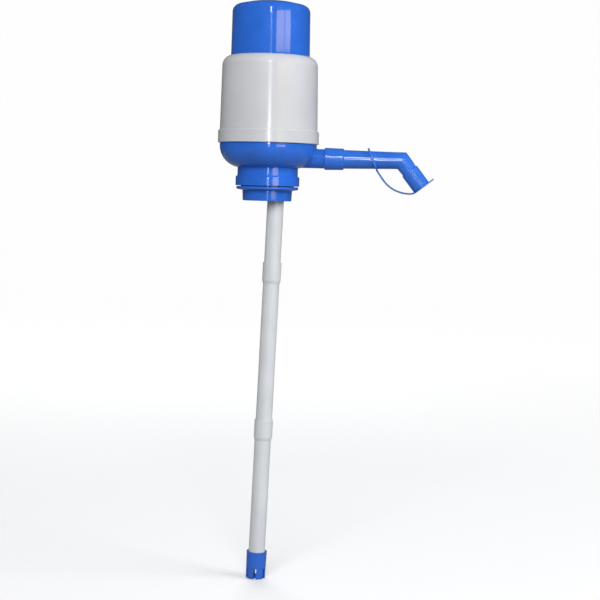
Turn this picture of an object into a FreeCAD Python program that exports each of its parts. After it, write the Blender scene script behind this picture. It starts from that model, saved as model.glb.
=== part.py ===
"""A hand pump for a water jug: a spring-loaded button squeezes a bellows, the air goes down into
the bottle, and the water comes up the dip tube and out of the spout.

Millimetres. Z is the pump's axis and points up, X points along the spout, and the origin is on
the axis at the height of the bottle's rim, where the adapter's washer seats.
"""
import FreeCAD, Part
import math
import os
import Sketcher

SIZES = {
    # base: bowl, neck and band, turned about the pump's axis
    "rim_radius": 40.9,
    "rim_height": 35.6,
    "bowl_round": 18.4,
    "bowl_underside": 15.1,
    "spigot_radius": 39.9,
    "spigot_top": 45.0,
    "spigot_wall": 2.2,
    "neck_radius": 25.5,
    "neck_wall": 2.2,
    "band_radius": 26.95,
    "band_top": 7.4,
    "band_bevel": 1.3,
    "band_foot": 0.0,
    "socket_radius": 23.8,
    "floor_underside": 8.7,
    "floor_thickness": 3.3,
    "edge_round": 0.5,
    "cut_over": 1.0,
    # gussets in the bowl, which carry the spring plate
    "gusset_count": 8,
    "gusset_thickness": 1.6,
    "gusset_reach": 6.7,
    "gusset_foot": 22.0,
    # outlet: riser and duct inside the bowl, journal for the spout outside
    "duct_height": 24.0,
    "duct_radius": 8.1,
    "duct_bore": 4.6,
    "duct_reach": 47.5,
    "riser_offset": 8.0,
    "riser_lean": 1.7,
    "tube_spigot_length": 8.5,
    "journal_radius": 6.95,
    "journal_length": 14.7,
    "seal_groove_place": 6.5,
    "seal_groove_width": 2.2,
    "seal_groove_depth": 1.25,
    "bead_place": 11.5,
    "bead_width": 1.8,
    "bead_rise": 0.3,
    # outer casing
    "collar_radius": 42.5,
    "collar_height": 10.4,
    "collar_step": 1.35,
    "collar_bevel": 0.4,
    "casing_top": 108.3,
    "casing_top_radius": 40.1,
    "shoulder_round": 8.5,
    "casing_wall": 2.2,
    "lid_thickness": 3.2,
    "lid_round": 3.2,
    "casing_thread_gap": 0.1,
    # bellows and its clamp ring
    "clamp_inner_radius": 36.0,
    "clamp_lip": 1.3,
    "clamp_gap": 0.1,
    "bellows_flange": 1.5,
    "bellows_top_reach": 33.6,
    "bellows_radius": 34.6,
    "bellows_fold_depth": 5.2,
    "bellows_wall": 1.4,
    "bellows_folds": 6,
    # spring and the plate it stands on
    "plate_seat": 34.0,
    "plate_thickness": 2.0,
    "plate_gap": 0.3,
    "plate_hole": 9.0,
    "plate_hole_ring": 24.0,
    "plate_hole_count": 8,
    "plate_bore": 4.0,
    "spring_radius": 14.0,
    "spring_wire": 1.6,
    "spring_wire_sides": 8,
    "spring_turns": 7,
    "spring_boss_gap": 0.9,
    "spring_boss_height": 3.0,
    # plunger plate under the button
    "plunger_seat": 96.0,
    "plunger_thickness": 2.0,
    "plunger_radius": 34.0,
    "plunger_boss_wall": 1.7,
    "plunger_spigot_height": 2.5,
    "plunger_spigot_wall": 1.9,
    "plunger_fit_gap": 0.1,
    "intake_hole": 3.2,
    "intake_hole_ring": 5.0,
    "intake_hole_count": 6,
    # button
    "button_top": 150.6,
    "button_top_radius": 32.55,
    "button_radius": 33.05,
    "button_round": 4.8,
    "button_crown": 1.8,
    "button_wall": 2.2,
    "button_gap": 0.35,
    "flange_radius": 35.0,
    "flange_thickness": 2.0,
    "flange_gap": 0.3,
    "flange_chamfer": 0.5,
    "air_slot_width": 5.0,
    "air_slot_height": 5.0,
    "air_slot_count": 4,
    # mushroom valves
    "valve_lift": 0.9,
    "valve_edge": 0.7,
    "valve_dome": 0.7,
    "valve_flat_share": 0.35,
    "valve_stem_gap": 0.1,
    "bulb_rise": 1.0,
    "bulb_height": 2.5,
    "intake_disc": 8.0,
    "intake_stem": 1.4,
    "delivery_disc": 5.2,
    "delivery_stem": 1.2,
    "delivery_offset": 9.5,
    "delivery_hole": 1.8,
    "delivery_hole_ring": 3.2,
    "delivery_hole_count": 6,
    # washers and the adapter between the pump's band and a smaller bottle neck
    "socket_gasket": 1.5,
    "socket_gasket_inner": 20.0,
    "thread_gap": 0.2,
    "adapter_inner_radius": 21.2,
    "adapter_web_top": 3.5,
    "adapter_way": 15.8,
    "lip_radius": 26.2,
    "lip_thickness": 2.5,
    "lip_gap": 0.5,
    "lip_round": 0.9,
    "mouth_depth": 12.5,
    "mouth_radius": 18.9,
    "mouth_outer_radius": 20.6,
    "mouth_draft": 0.45,
    "rim_gasket": 1.5,
    "rim_gasket_inner": 16.0,
    "rim_gasket_gap": 0.2,
    # spout: coupling, tube, mitred elbow and nozzle
    "running_gap": 0.05,
    "end_gap": 0.1,
    "coupling_length": 16.8,
    "coupling_radius": 9.3,
    "coupling_draft": 0.3,
    "coupling_bevel": 0.8,
    "bead_gap": 0.15,
    "spout_bore": 5.0,
    "spout_root_radius": 7.85,
    "elbow_radius": 7.1,
    "elbow_place": 112.8,
    "elbow_straight": 7.0,
    "nozzle_fall": 52.0,
    "nozzle_length": 27.5,
    "mitre_reach": 20.0,
    "nozzle_level": 4.0,
    "nozzle_radius": 6.75,
    "sleeve_place": 10.3,
    "sleeve_radius": 7.65,
    "sleeve_bevel": 0.7,
    "seal_section": 1.1,
    # tethered cap
    "cap_ring_place": 88.5,
    "cap_ring_tilt": 23.0,
    "cap_ring_bore": 8.6,
    "cap_ring_radius": 10.75,
    "cap_thickness": 1.2,
    "strap_width": 7.0,
    "strap_fall": 56.0,
    "strap_run": 12.0,
    "strap_gap": 0.5,
    "strap_root_space": 2.4,
    "plug_length": 4.0,
    "plug_gap": 0.08,
    "plug_wall": 1.3,
    "tab_reach": 4.8,
    "tab_round": 2.0,
    # dip tube in three lengths, and its foot
    "tube_radius": 7.0,
    "tube_bore": 5.8,
    "tube_top_gap": 0.4,
    "upper_length": 88.0,
    "middle_length": 150.0,
    "lower_length": 123.0,
    "tube_socket_depth": 15.0,
    "tube_socket_radius": 7.9,
    "tube_socket_gap": 0.03,
    "tube_socket_cone": 3.0,
    "strainer_radius": 8.75,
    "strainer_overlap": 8.0,
    "strainer_length": 23.0,
    "strainer_floor": 1.8,
    "strainer_draft": 0.5,
    "strainer_slot_width": 2.4,
    "strainer_slot_height": 9.0,
    "strainer_slot_count": 6,
    "strainer_slot_start": 4.0,
}


class Size:
    """A size held as a number and as the formula over the sheet's cells that gives it."""

    def __init__(self, value, formula):
        self.value = float(value)
        self.formula = formula

    def __add__(self, other):
        return combined(self, "+", other, self.value + number(other))

    def __sub__(self, other):
        return combined(self, "-", other, self.value - number(other))

    def __mul__(self, other):
        return combined(self, "*", other, self.value * number(other))

    def __truediv__(self, other):
        return combined(self, "/", other, self.value / number(other))

    def __radd__(self, other):
        return combined(other, "+", self, number(other) + self.value)

    def __rsub__(self, other):
        return combined(other, "-", self, number(other) - self.value)

    def __rmul__(self, other):
        return combined(other, "*", self, number(other) * self.value)

    def __neg__(self):
        return combined(0, "-", self, -self.value)


def number(value):
    """The plain number of a Size, or the number itself."""
    return value.value if isinstance(value, Size) else float(value)


def formula_of(value):
    """The sheet formula of a Size, or a plain number as text."""
    return value.formula if isinstance(value, Size) else str(float(value))


def combined(left, sign, right, value):
    """The Size of two sizes joined by an arithmetic sign."""
    return Size(value, "(" + formula_of(left) + " " + sign + " " + formula_of(right) + ")")


def cosine(angle):
    """The cosine of an angle in degrees."""
    return Size(math.cos(math.radians(number(angle))), "cos(" + formula_of(angle) + ")")


def sine(angle):
    """The sine of an angle in degrees."""
    return Size(math.sin(math.radians(number(angle))), "sin(" + formula_of(angle) + ")")


def root(square):
    """The square root of a Size."""
    return Size(math.sqrt(number(square)), "sqrt(" + formula_of(square) + ")")


def side(long_side, other_side):
    """The other short side of a right triangle."""
    return root(long_side * long_side - other_side * other_side)


doc = FreeCAD.newDocument("water_jug_hand_pump")
sheet = doc.addObject("Spreadsheet::Sheet", "Sizes")
for row, (alias, plain) in enumerate(SIZES.items(), start=1):
    sheet.set("A" + str(row), alias.replace("_", " "))
    sheet.set("B" + str(row), str(plain))
    sheet.setAlias("B" + str(row), alias)
doc.recompute()


class Sheet:
    """Gives each driving dimension by its name, such as size.rim_radius."""

    def __getattr__(self, name):
        return Size(SIZES[name], "Sizes." + name)


size = Sheet()

UPRIGHT = FreeCAD.Vector(0, 0, 1)
ACROSS = FreeCAD.Vector(0, 1, 0)
CLOCKWISE = FreeCAD.Vector(0, 0, -1)


def bind(thing, path, value):
    """Ties one property of an object to the sheet."""
    thing.setExpression(path, formula_of(value))


def place(thing, along_x, along_z, turn):
    """Moves an object along X and Z and turns it about Y, Z towards X, by sheet sizes."""
    base = FreeCAD.Vector(number(along_x), 0, number(along_z))
    thing.Placement = FreeCAD.Placement(base, FreeCAD.Rotation(ACROSS, number(turn)))
    bind(thing, "Placement.Base.x", along_x)
    bind(thing, "Placement.Base.z", along_z)
    bind(thing, "Placement.Rotation.Angle", turn)


def new_body(label):
    """An empty PartDesign body."""
    body = doc.addObject("PartDesign::Body", label)
    body.Label = label
    return body


def origin_part(body, role):
    """One plane or axis of a body's own origin."""
    return next(part for part in body.Origin.OriginFeatures if part.Role == role)


def new_sketch(body, name, plane, offset):
    """A sketch on one of the body's planes. The offset (right, up, out, clockwise turn) moves it."""
    sketch = body.newObject("Sketcher::SketchObject", body.Label + "_" + name)
    sketch.AttachmentSupport = [(origin_part(body, plane), "")]
    sketch.MapMode = "FlatFace"
    right, up, out, turn = offset
    base = FreeCAD.Vector(number(right), number(up), number(out))
    turned = FreeCAD.Rotation(CLOCKWISE, number(turn))
    sketch.AttachmentOffset = FreeCAD.Placement(base, turned)
    bind(sketch, "AttachmentOffset.Base.x", right)
    bind(sketch, "AttachmentOffset.Base.y", up)
    bind(sketch, "AttachmentOffset.Base.z", out)
    if number(turn):
        bind(sketch, "AttachmentOffset.Rotation.Angle", turn)
    return sketch


def constrain(sketch, kind, geometry, point, value):
    """Fixes one coordinate of a point in a sketch, with its formula."""
    if not isinstance(value, Size) and value == 0:
        axis = -2 if kind == "DistanceX" else -1
        sketch.addConstraint(Sketcher.Constraint("PointOnObject", geometry, point, axis))
        return
    rule = Sketcher.Constraint(kind, -1, 1, geometry, point, number(value))
    index = sketch.addConstraint(rule)
    if isinstance(value, Size):
        bind(sketch, "Constraints[" + str(index) + "]", value)


def arc_between(start, end, centre):
    """The shorter arc from start to end about the centre, and whether it runs anticlockwise."""
    first = math.atan2(start[1] - centre[1], start[0] - centre[0])
    last = math.atan2(end[1] - centre[1], end[0] - centre[0])
    forward = math.fmod(last - first + 4 * math.pi, 2 * math.pi) < math.pi
    radius = math.hypot(start[0] - centre[0], start[1] - centre[1])
    circle = Part.Circle(FreeCAD.Vector(centre[0], centre[1], 0), UPRIGHT, radius)
    if forward:
        return Part.ArcOfCircle(circle, first, last), True
    return Part.ArcOfCircle(circle, last, first), False


def outline(body, name, path, plane="XZ_Plane", offset=(0, 0, 0, 0)):
    """A closed sketch through the corners of a path. A corner (x, y) is reached by a straight
    line, and a corner (x, y, centre x, centre y) by the shorter arc about that centre."""
    sketch = new_sketch(body, name, plane, offset)
    plain = [[number(value) for value in corner] for corner in path]
    count = len(path)
    begins = []
    ends = []
    for index in range(count):
        target = (index + 1) % count
        start = plain[index][:2]
        end = plain[target][:2]
        if len(plain[target]) == 2:
            line = Part.LineSegment(FreeCAD.Vector(*start, 0), FreeCAD.Vector(*end, 0))
            sketch.addGeometry(line, False)
            begins.append((index, 1))
            ends.append((index, 2))
            continue
        arc, forward = arc_between(start, end, plain[target][2:])
        sketch.addGeometry(arc, False)
        begins.append((index, 1 if forward else 2))
        ends.append((index, 2 if forward else 1))
    for index in range(count):
        rule = Sketcher.Constraint("Coincident", *ends[index - 1], *begins[index])
        sketch.addConstraint(rule)
    for index, corner in enumerate(path):
        across, up = True, True
        if len(corner) == 4:
            constrain(sketch, "DistanceX", index - 1 if index else count - 1, 3, corner[2])
            constrain(sketch, "DistanceY", index - 1 if index else count - 1, 3, corner[3])
            sideways = abs(plain[index][0] - plain[index][2])
            upwards = abs(plain[index][1] - plain[index][3])
            across = sideways <= upwards
            up = not across
        if across:
            constrain(sketch, "DistanceX", *begins[index], corner[0])
        if up:
            constrain(sketch, "DistanceY", *begins[index], corner[1])
    return sketch


def ring_sketch(body, name, radius, centre, plane="XY_Plane", offset=(0, 0, 0, 0)):
    """A sketch of one circle whose centre lies on the sketch's X axis."""
    sketch = new_sketch(body, name, plane, offset)
    middle = FreeCAD.Vector(number(centre), 0, 0)
    sketch.addGeometry(Part.Circle(middle, UPRIGHT, number(radius)), False)
    constrain(sketch, "DistanceX", 0, 3, centre)
    constrain(sketch, "DistanceY", 0, 3, 0)
    index = sketch.addConstraint(Sketcher.Constraint("Radius", 0, number(radius)))
    bind(sketch, "Constraints[" + str(index) + "]", radius)
    return sketch


def turned(body, sketch, axis="V_Axis"):
    """Turns a sketch a full circle about its upright or level axis, adding to the body."""
    feature = body.newObject("PartDesign::Revolution", sketch.Name + "_turn")
    feature.Profile = sketch
    feature.ReferenceAxis = (sketch, [axis])
    feature.Angle = 360
    sketch.Visibility = False
    return feature


def bored(body, sketch, axis="V_Axis"):
    """Turns a sketch a full circle and takes it away from the body."""
    feature = body.newObject("PartDesign::Groove", sketch.Name + "_bore")
    feature.Profile = sketch
    feature.ReferenceAxis = (sketch, [axis])
    feature.Angle = 360
    return feature


def padded(body, sketch, thickness, midplane=False):
    """Pads a sketch to a thickness, to one side or to both."""
    feature = body.newObject("PartDesign::Pad", sketch.Name + "_pad")
    feature.Profile = sketch
    feature.Midplane = midplane
    feature.Length = number(thickness)
    bind(feature, "Length", thickness)
    return feature


def pierced(body, sketch, depth, midplane=False, reverse=False):
    """Cuts a sketch into the body to a depth."""
    feature = body.newObject("PartDesign::Pocket", sketch.Name + "_cut")
    feature.Profile = sketch
    feature.Midplane = midplane
    feature.Reversed = reverse
    feature.Length = number(depth)
    bind(feature, "Length", depth)
    return feature


def repeated(body, feature, axis, copies):
    """Repeats a feature round an axis."""
    pattern = body.newObject("PartDesign::PolarPattern", feature.Name + "_round")
    pattern.Originals = [feature]
    pattern.Axis = axis
    pattern.Angle = 360
    pattern.Occurrences = int(number(copies))
    bind(pattern, "Occurrences", copies)
    body.Tip = pattern
    return pattern


def ring_edges(shape, rings):
    """The names of the round edges about Z that have the given radii and heights."""
    names = []
    for index, edge in enumerate(shape.Edges, start=1):
        if not isinstance(edge.Curve, Part.Circle):
            continue
        centre = edge.Curve.Center
        for radius, height in rings:
            near = abs(edge.Curve.Radius - number(radius)) < 0.01
            level = abs(centre.z - number(height)) < 0.01
            if near and level and math.hypot(centre.x, centre.y) < 0.01:
                names.append("Edge" + str(index))
    return names


def rounded(body, name, rings, radius):
    """Rounds the given round edges of the body."""
    doc.recompute()
    before = body.Tip
    feature = body.newObject("PartDesign::Fillet", body.Label + "_" + name)
    feature.Base = (before, ring_edges(before.Shape, rings))
    feature.Radius = number(radius)
    bind(feature, "Radius", radius)
    return feature


def turned_piece(label, path):
    """A body that is one outline turned about Z."""
    body = new_body(label)
    turned(body, outline(body, "profile", path))
    return body


# Heights and radii that several pieces share.
collar_foot = size.rim_height
spigot_inner = size.spigot_radius - size.spigot_wall
bowl_centre_r = size.rim_radius - size.bowl_round
bowl_centre_z = size.bowl_underside + size.bowl_round
bowl_inner_round = size.bowl_round - (size.rim_radius - spigot_inner)
floor_top = size.floor_underside + size.floor_thickness
plate_top = size.plate_seat + size.plate_thickness
plunger_top = size.plunger_seat + size.plunger_thickness
casing_lid = size.casing_top - size.lid_thickness
adapter_top = size.floor_underside - size.socket_gasket
lip_top = size.band_foot - size.lip_gap
lip_foot = lip_top - size.lip_thickness
journal_end = size.duct_reach + size.journal_length


def base_profile():
    """Half section of the bowl, its neck, its band and its floor."""
    neck_inner = size.neck_radius - size.neck_wall
    outer_join = bowl_centre_z - side(size.bowl_round, size.neck_radius - bowl_centre_r)
    inner_join = bowl_centre_z - side(bowl_inner_round, neck_inner - bowl_centre_r)
    return [
        (size.socket_radius, size.band_foot),
        (size.band_radius, size.band_foot),
        (size.band_radius, size.band_top),
        (size.neck_radius, size.band_top + size.band_bevel),
        (size.neck_radius, outer_join),
        (size.rim_radius, bowl_centre_z, bowl_centre_r, bowl_centre_z),
        (size.rim_radius, size.rim_height),
        (size.spigot_radius, size.rim_height),
        (size.spigot_radius, size.spigot_top),
        (spigot_inner, size.spigot_top),
        (spigot_inner, bowl_centre_z),
        (neck_inner, inner_join, bowl_centre_r, bowl_centre_z),
        (neck_inner, floor_top),
        (0, floor_top),
        (0, size.floor_underside),
        (size.socket_radius, size.floor_underside),
    ]


def duct_profile():
    """Half section of the duct and the journal that the spout turns on, along the duct's axis."""
    groove = size.duct_reach + size.seal_groove_place
    groove_end = groove + size.seal_groove_width
    groove_radius = size.journal_radius - size.seal_groove_depth
    bead = size.duct_reach + size.bead_place
    bead_radius = size.journal_radius + size.bead_rise
    start = size.riser_offset - size.duct_radius
    return [
        (start, 0),
        (start, size.duct_radius),
        (size.duct_reach, size.duct_radius),
        (size.duct_reach, size.journal_radius),
        (groove, size.journal_radius),
        (groove, groove_radius),
        (groove_end, groove_radius),
        (groove_end, size.journal_radius),
        (bead, size.journal_radius),
        (bead + size.bead_rise, bead_radius),
        (bead + size.bead_width - size.bead_rise, bead_radius),
        (bead + size.bead_width, size.journal_radius),
        (journal_end, size.journal_radius),
        (journal_end, 0),
    ]


def build_base():
    """The bowl with its neck, floor, gussets, riser, duct and journal: one moulding."""
    body = new_body("base_bowl")
    turned(body, outline(body, "shell", base_profile()))
    duct = (0, size.duct_height, 0, 0)
    turned(body, outline(body, "duct", duct_profile(), offset=duct), "H_Axis")

    riser_height = (size.duct_height - size.floor_underside) / cosine(size.riser_lean)
    half_floor = size.floor_thickness / 2
    tube_spigot = size.tube_bore - size.running_gap
    riser = (size.riser_offset, size.floor_underside, 0, size.riser_lean)
    path = [
        (0, -size.tube_spigot_length),
        (tube_spigot, -size.tube_spigot_length),
        (tube_spigot, half_floor),
        (size.duct_radius, half_floor),
        (size.duct_radius, riser_height),
        (0, riser_height),
    ]
    turned(body, outline(body, "riser", path, offset=riser))

    gusset_radius = (size.bowl_round + bowl_inner_round) / 2
    seat_reach = side(gusset_radius, bowl_centre_z - size.plate_seat)
    foot_reach = side(gusset_radius, bowl_centre_z - size.gusset_foot)
    path = [
        (spigot_inner - size.gusset_reach, size.plate_seat),
        (bowl_centre_r + seat_reach, size.plate_seat),
        (bowl_centre_r + foot_reach, size.gusset_foot, bowl_centre_r, bowl_centre_z),
    ]
    gusset = padded(body, outline(body, "gusset", path), size.gusset_thickness, midplane=True)
    axis = (origin_part(body, "Z_Axis"), [""])
    repeated(body, gusset, axis, size.gusset_count)

    bore_end = size.riser_offset - size.duct_bore
    path = [
        (bore_end, 0),
        (bore_end, size.duct_bore),
        (journal_end + size.cut_over, size.duct_bore),
        (journal_end + size.cut_over, 0),
    ]
    bored(body, outline(body, "duct_bore", path, offset=duct), "H_Axis")
    bore_foot = -size.tube_spigot_length - size.cut_over
    path = [
        (0, bore_foot),
        (size.duct_bore, bore_foot),
        (size.duct_bore, riser_height),
        (0, riser_height),
    ]
    bored(body, outline(body, "riser_bore", path, offset=riser))

    seat = (-size.delivery_offset, 0, size.floor_underside, 0)
    stem_bore = size.delivery_stem + size.valve_stem_gap
    hole = ring_sketch(body, "stem_hole", stem_bore, 0, offset=seat)
    pierced(body, hole, size.floor_thickness, reverse=True)
    hole = ring_sketch(body, "air_hole", size.delivery_hole / 2, size.delivery_hole_ring, offset=seat)
    cut = pierced(body, hole, size.floor_thickness, reverse=True)
    repeated(body, cut, (hole, ["N_Axis"]), size.delivery_hole_count)

    edges = [(size.band_radius, size.band_foot), (size.spigot_radius, size.spigot_top)]
    rounded(body, "edges", edges, size.edge_round)
    return body


def build_casing():
    """The barrel round the bellows. The button's hole cuts its round shoulder before the crest."""
    collar_top = collar_foot + size.collar_height
    wall_foot = size.collar_radius - size.collar_step
    opening = size.button_radius + size.button_gap
    centre_r = size.casing_top_radius - size.shoulder_round
    centre_z = size.casing_top - size.shoulder_round
    opening_top = centre_z + side(size.shoulder_round, opening - centre_r)
    wall_head = size.casing_top_radius - size.casing_wall
    lid_r = wall_head - size.lid_round
    lid_z = casing_lid - size.lid_round
    collar_inner = size.spigot_radius + size.casing_thread_gap
    step = size.spigot_top + size.clamp_lip + size.clamp_gap
    body = turned_piece("outer_casing", [
        (collar_inner, collar_foot),
        (size.collar_radius, collar_foot),
        (size.collar_radius, collar_top),
        (wall_foot, collar_top + size.collar_bevel),
        (size.casing_top_radius, centre_z),
        (opening, opening_top, centre_r, centre_z),
        (opening, casing_lid),
        (lid_r, casing_lid),
        (wall_head, lid_z, lid_r, lid_z),
        (wall_foot - size.casing_wall, step),
        (collar_inner, step),
    ])
    edges = [
        (size.collar_radius, collar_foot),
        (size.collar_radius, collar_top),
        (opening, opening_top),
    ]
    rounded(body, "edges", edges, size.edge_round)
    return body


def build_clamp_ring():
    """An L-shaped ring that the casing presses down on the bellows' lower flange."""
    outer = spigot_inner - size.casing_thread_gap
    lip = size.spigot_radius - size.casing_thread_gap
    flange_top = plate_top + size.bellows_flange
    return turned_piece("bellows_clamp_ring", [
        (size.clamp_inner_radius, flange_top),
        (outer, flange_top),
        (outer, size.spigot_top),
        (lip, size.spigot_top),
        (lip, size.spigot_top + size.clamp_lip),
        (size.clamp_inner_radius, size.spigot_top + size.clamp_lip),
    ])


def build_bellows():
    """A pleated tube with a flange at each end; its folds are drawn by a loop."""
    foot = plate_top + size.bellows_flange
    head = size.plunger_seat - size.bellows_flange
    folds = int(number(size.bellows_folds))
    half_fold = (head - foot) / (2 * size.bellows_folds)
    valley = size.bellows_radius - size.bellows_fold_depth
    outside = [(valley, foot)]
    inside = [(valley - size.bellows_wall, foot)]
    for fold in range(1, 2 * folds + 1):
        reach = size.bellows_radius if fold % 2 else valley
        height = foot + half_fold * fold if fold < 2 * folds else head
        outside.append((reach, height))
        inside.append((reach - size.bellows_wall, height))
    flange = spigot_inner - size.plate_gap
    inner = valley - size.bellows_wall
    lower = [(inner, plate_top), (flange, plate_top), (flange, foot)]
    upper = [
        (size.bellows_top_reach, head),
        (size.bellows_top_reach, size.plunger_seat),
        (inner, size.plunger_seat),
    ]
    return turned_piece("bellows", lower + outside + upper + inside[:0:-1] + inside[:1])


def spring_boss_radius():
    """The radius of the bosses that keep the spring's ends in the middle."""
    return size.spring_radius - size.spring_wire / 2 - size.spring_boss_gap


def build_spring_plate():
    """A perforated plate over the bowl, with a boss for the spring."""
    boss = spring_boss_radius()
    rim = spigot_inner - size.plate_gap
    body = turned_piece("spring_plate", [
        (size.plate_bore, size.plate_seat),
        (rim, size.plate_seat),
        (rim, plate_top),
        (boss, plate_top),
        (boss, plate_top + size.spring_boss_height),
        (size.plate_bore, plate_top + size.spring_boss_height),
    ])
    level = (0, 0, plate_top, 0)
    hole = ring_sketch(body, "hole", size.plate_hole / 2, size.plate_hole_ring, offset=level)
    cut = pierced(body, hole, size.plate_thickness)
    repeated(body, cut, (origin_part(body, "Z_Axis"), [""]), size.plate_hole_count)
    return body


def build_spring():
    """The return spring: a wire swept along a helix, its round section drawn as a polygon."""
    helix = doc.addObject("Part::Helix", "spring_helix")
    height = size.plunger_seat - plate_top - size.spring_wire
    bind(helix, "Radius", size.spring_radius)
    bind(helix, "Height", height)
    bind(helix, "Pitch", height / size.spring_turns)
    place(helix, 0, plate_top + size.spring_wire / 2, 0)
    wire = doc.addObject("Part::RegularPolygon", "spring_wire_section")
    bind(wire, "Polygon", size.spring_wire_sides)
    bind(wire, "Circumradius", size.spring_wire / 2)
    start = FreeCAD.Vector(number(size.spring_radius), 0, 0)
    wire.Placement = FreeCAD.Placement(start, FreeCAD.Rotation(FreeCAD.Vector(1, 0, 0), 90))
    bind(wire, "Placement.Base.x", size.spring_radius)
    bind(wire, "Placement.Base.z", plate_top + size.spring_wire / 2)
    spring = doc.addObject("Part::Sweep", "return_spring")
    spring.Label = "return_spring"
    spring.Sections = [wire]
    spring.Spine = (helix, [])
    spring.Solid = True
    spring.Frenet = True
    return spring


def build_plunger_plate():
    """The disc that closes the button's foot, with the intake holes and the spring's upper boss."""
    boss = spring_boss_radius()
    spigot = size.button_radius - size.button_wall - size.plunger_fit_gap
    stem_bore = size.intake_stem + size.valve_stem_gap
    boss_inner = boss - size.plunger_boss_wall
    body = turned_piece("plunger_plate", [
        (stem_bore, size.plunger_seat),
        (boss_inner, size.plunger_seat),
        (boss_inner, size.plunger_seat - size.spring_boss_height),
        (boss, size.plunger_seat - size.spring_boss_height),
        (boss, size.plunger_seat),
        (size.plunger_radius, size.plunger_seat),
        (size.plunger_radius, plunger_top),
        (spigot, plunger_top),
        (spigot, plunger_top + size.plunger_spigot_height),
        (spigot - size.plunger_spigot_wall, plunger_top + size.plunger_spigot_height),
        (spigot - size.plunger_spigot_wall, plunger_top),
        (stem_bore, plunger_top),
    ])
    level = (0, 0, plunger_top, 0)
    hole = ring_sketch(body, "hole", size.intake_hole / 2, size.intake_hole_ring, offset=level)
    cut = pierced(body, hole, size.plunger_thickness)
    repeated(body, cut, (origin_part(body, "Z_Axis"), [""]), size.intake_hole_count)
    return body


def build_button():
    """The push cap: crowned top, drafted skirt, the flange that the casing traps, and air slots."""
    flange_top = casing_lid - size.flange_gap
    flange_foot = flange_top - size.flange_thickness
    centre_r = size.button_top_radius - size.button_round
    centre_z = size.button_top - size.button_crown - size.button_round
    inner_round = size.button_round - size.button_wall
    skirt_inner = size.button_radius - size.button_wall
    crown_edge = size.button_top - size.button_crown
    crown_round = (centre_r * centre_r + size.button_crown * size.button_crown)
    crown_round = crown_round / (size.button_crown * 2)
    body = turned_piece("button", [
        (skirt_inner, plunger_top),
        (size.button_radius, plunger_top),
        (size.button_radius, flange_foot),
        (size.flange_radius, flange_foot),
        (size.flange_radius, flange_top - size.flange_chamfer),
        (size.flange_radius - size.flange_chamfer, flange_top),
        (size.button_radius, flange_top),
        (size.button_top_radius, centre_z),
        (centre_r, crown_edge, centre_r, centre_z),
        (0, size.button_top, 0, size.button_top - crown_round),
        (0, crown_edge - size.button_wall),
        (centre_r, crown_edge - size.button_wall),
        (centre_r + inner_round, centre_z, centre_r, centre_z),
    ])
    half_slot = size.air_slot_width / 2
    slot_top = plunger_top + size.air_slot_height
    path = [
        (-half_slot, plunger_top - size.cut_over),
        (half_slot, plunger_top - size.cut_over),
        (half_slot, slot_top),
        (-half_slot, slot_top),
    ]
    slot = outline(body, "slot", path)
    cut = pierced(body, slot, size.flange_radius, reverse=True)
    repeated(body, cut, (origin_part(body, "Z_Axis"), [""]), size.air_slot_count)
    return body


def build_valve(label, offset, seat, wall, disc, stem):
    """A mushroom valve: a thin disc under the wall, a stem through it and a bulb above it."""
    lift = wall + size.valve_lift
    dome = -size.valve_edge - size.valve_dome
    body = turned_piece(label, [
        (0, dome),
        (disc * size.valve_flat_share, dome),
        (disc, -size.valve_edge),
        (disc, 0),
        (stem, 0),
        (stem, lift),
        (stem + size.bulb_rise, lift),
        (stem, lift + size.bulb_height),
        (0, lift + size.bulb_height),
    ])
    place(body, offset, seat, 0)
    return body


def build_washers():
    """The flat washers over the adapter's top and over the bottle's rim."""
    outer = size.socket_radius - size.thread_gap
    turned_piece("socket_gasket", [
        (size.socket_gasket_inner, adapter_top),
        (outer, adapter_top),
        (outer, size.floor_underside),
        (size.socket_gasket_inner, size.floor_underside),
    ])
    rim = size.mouth_radius - size.rim_gasket_gap
    turned_piece("adapter_gasket", [
        (size.rim_gasket_inner, 0),
        (rim, 0),
        (rim, size.rim_gasket),
        (size.rim_gasket_inner, size.rim_gasket),
    ])


def build_adapter():
    """The reducer: a male thread for the pump's band above, a mouth for a small neck below."""
    male = size.socket_radius - size.thread_gap
    body = turned_piece("neck_adapter", [
        (size.mouth_radius, -size.mouth_depth),
        (size.mouth_outer_radius, -size.mouth_depth),
        (size.mouth_outer_radius + size.mouth_draft, lip_foot),
        (size.lip_radius, lip_foot),
        (size.lip_radius, lip_top),
        (male, lip_top),
        (male, adapter_top),
        (size.adapter_inner_radius, adapter_top),
        (size.adapter_inner_radius, size.adapter_web_top),
        (size.adapter_way, size.adapter_web_top),
        (size.adapter_way, size.rim_gasket),
        (size.mouth_radius, size.rim_gasket),
    ])
    rounded(body, "lip", [(size.lip_radius, lip_foot), (size.lip_radius, lip_top)], size.lip_round)
    return body


def build_seal():
    """The O-ring in the journal's groove."""
    seal = doc.addObject("Part::Torus", "spout_seal")
    seal.Label = "spout_seal"
    section = size.seal_section / 2
    groove = size.duct_reach + size.seal_groove_place + size.seal_groove_width / 2
    bind(seal, "Radius1", size.journal_radius - size.seal_groove_depth + section)
    bind(seal, "Radius2", section)
    place(seal, groove, size.duct_height, Size(90, "90"))
    return seal


def mitre_wedge(sign):
    """A block on one side of the mitre plane: beyond it for +1 and before it for -1."""
    slope = 90 - size.nozzle_fall / 2
    reach = size.mitre_reach
    up_x, up_z = reach * cosine(slope), reach * sine(slope)
    out_x, out_z = reach * sign * sine(slope), reach * sign * -cosine(slope)
    return [
        (up_x, up_z),
        (-up_x, -up_z),
        (out_x - up_x, out_z - up_z),
        (out_x + up_x, out_z + up_z),
    ]


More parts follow.
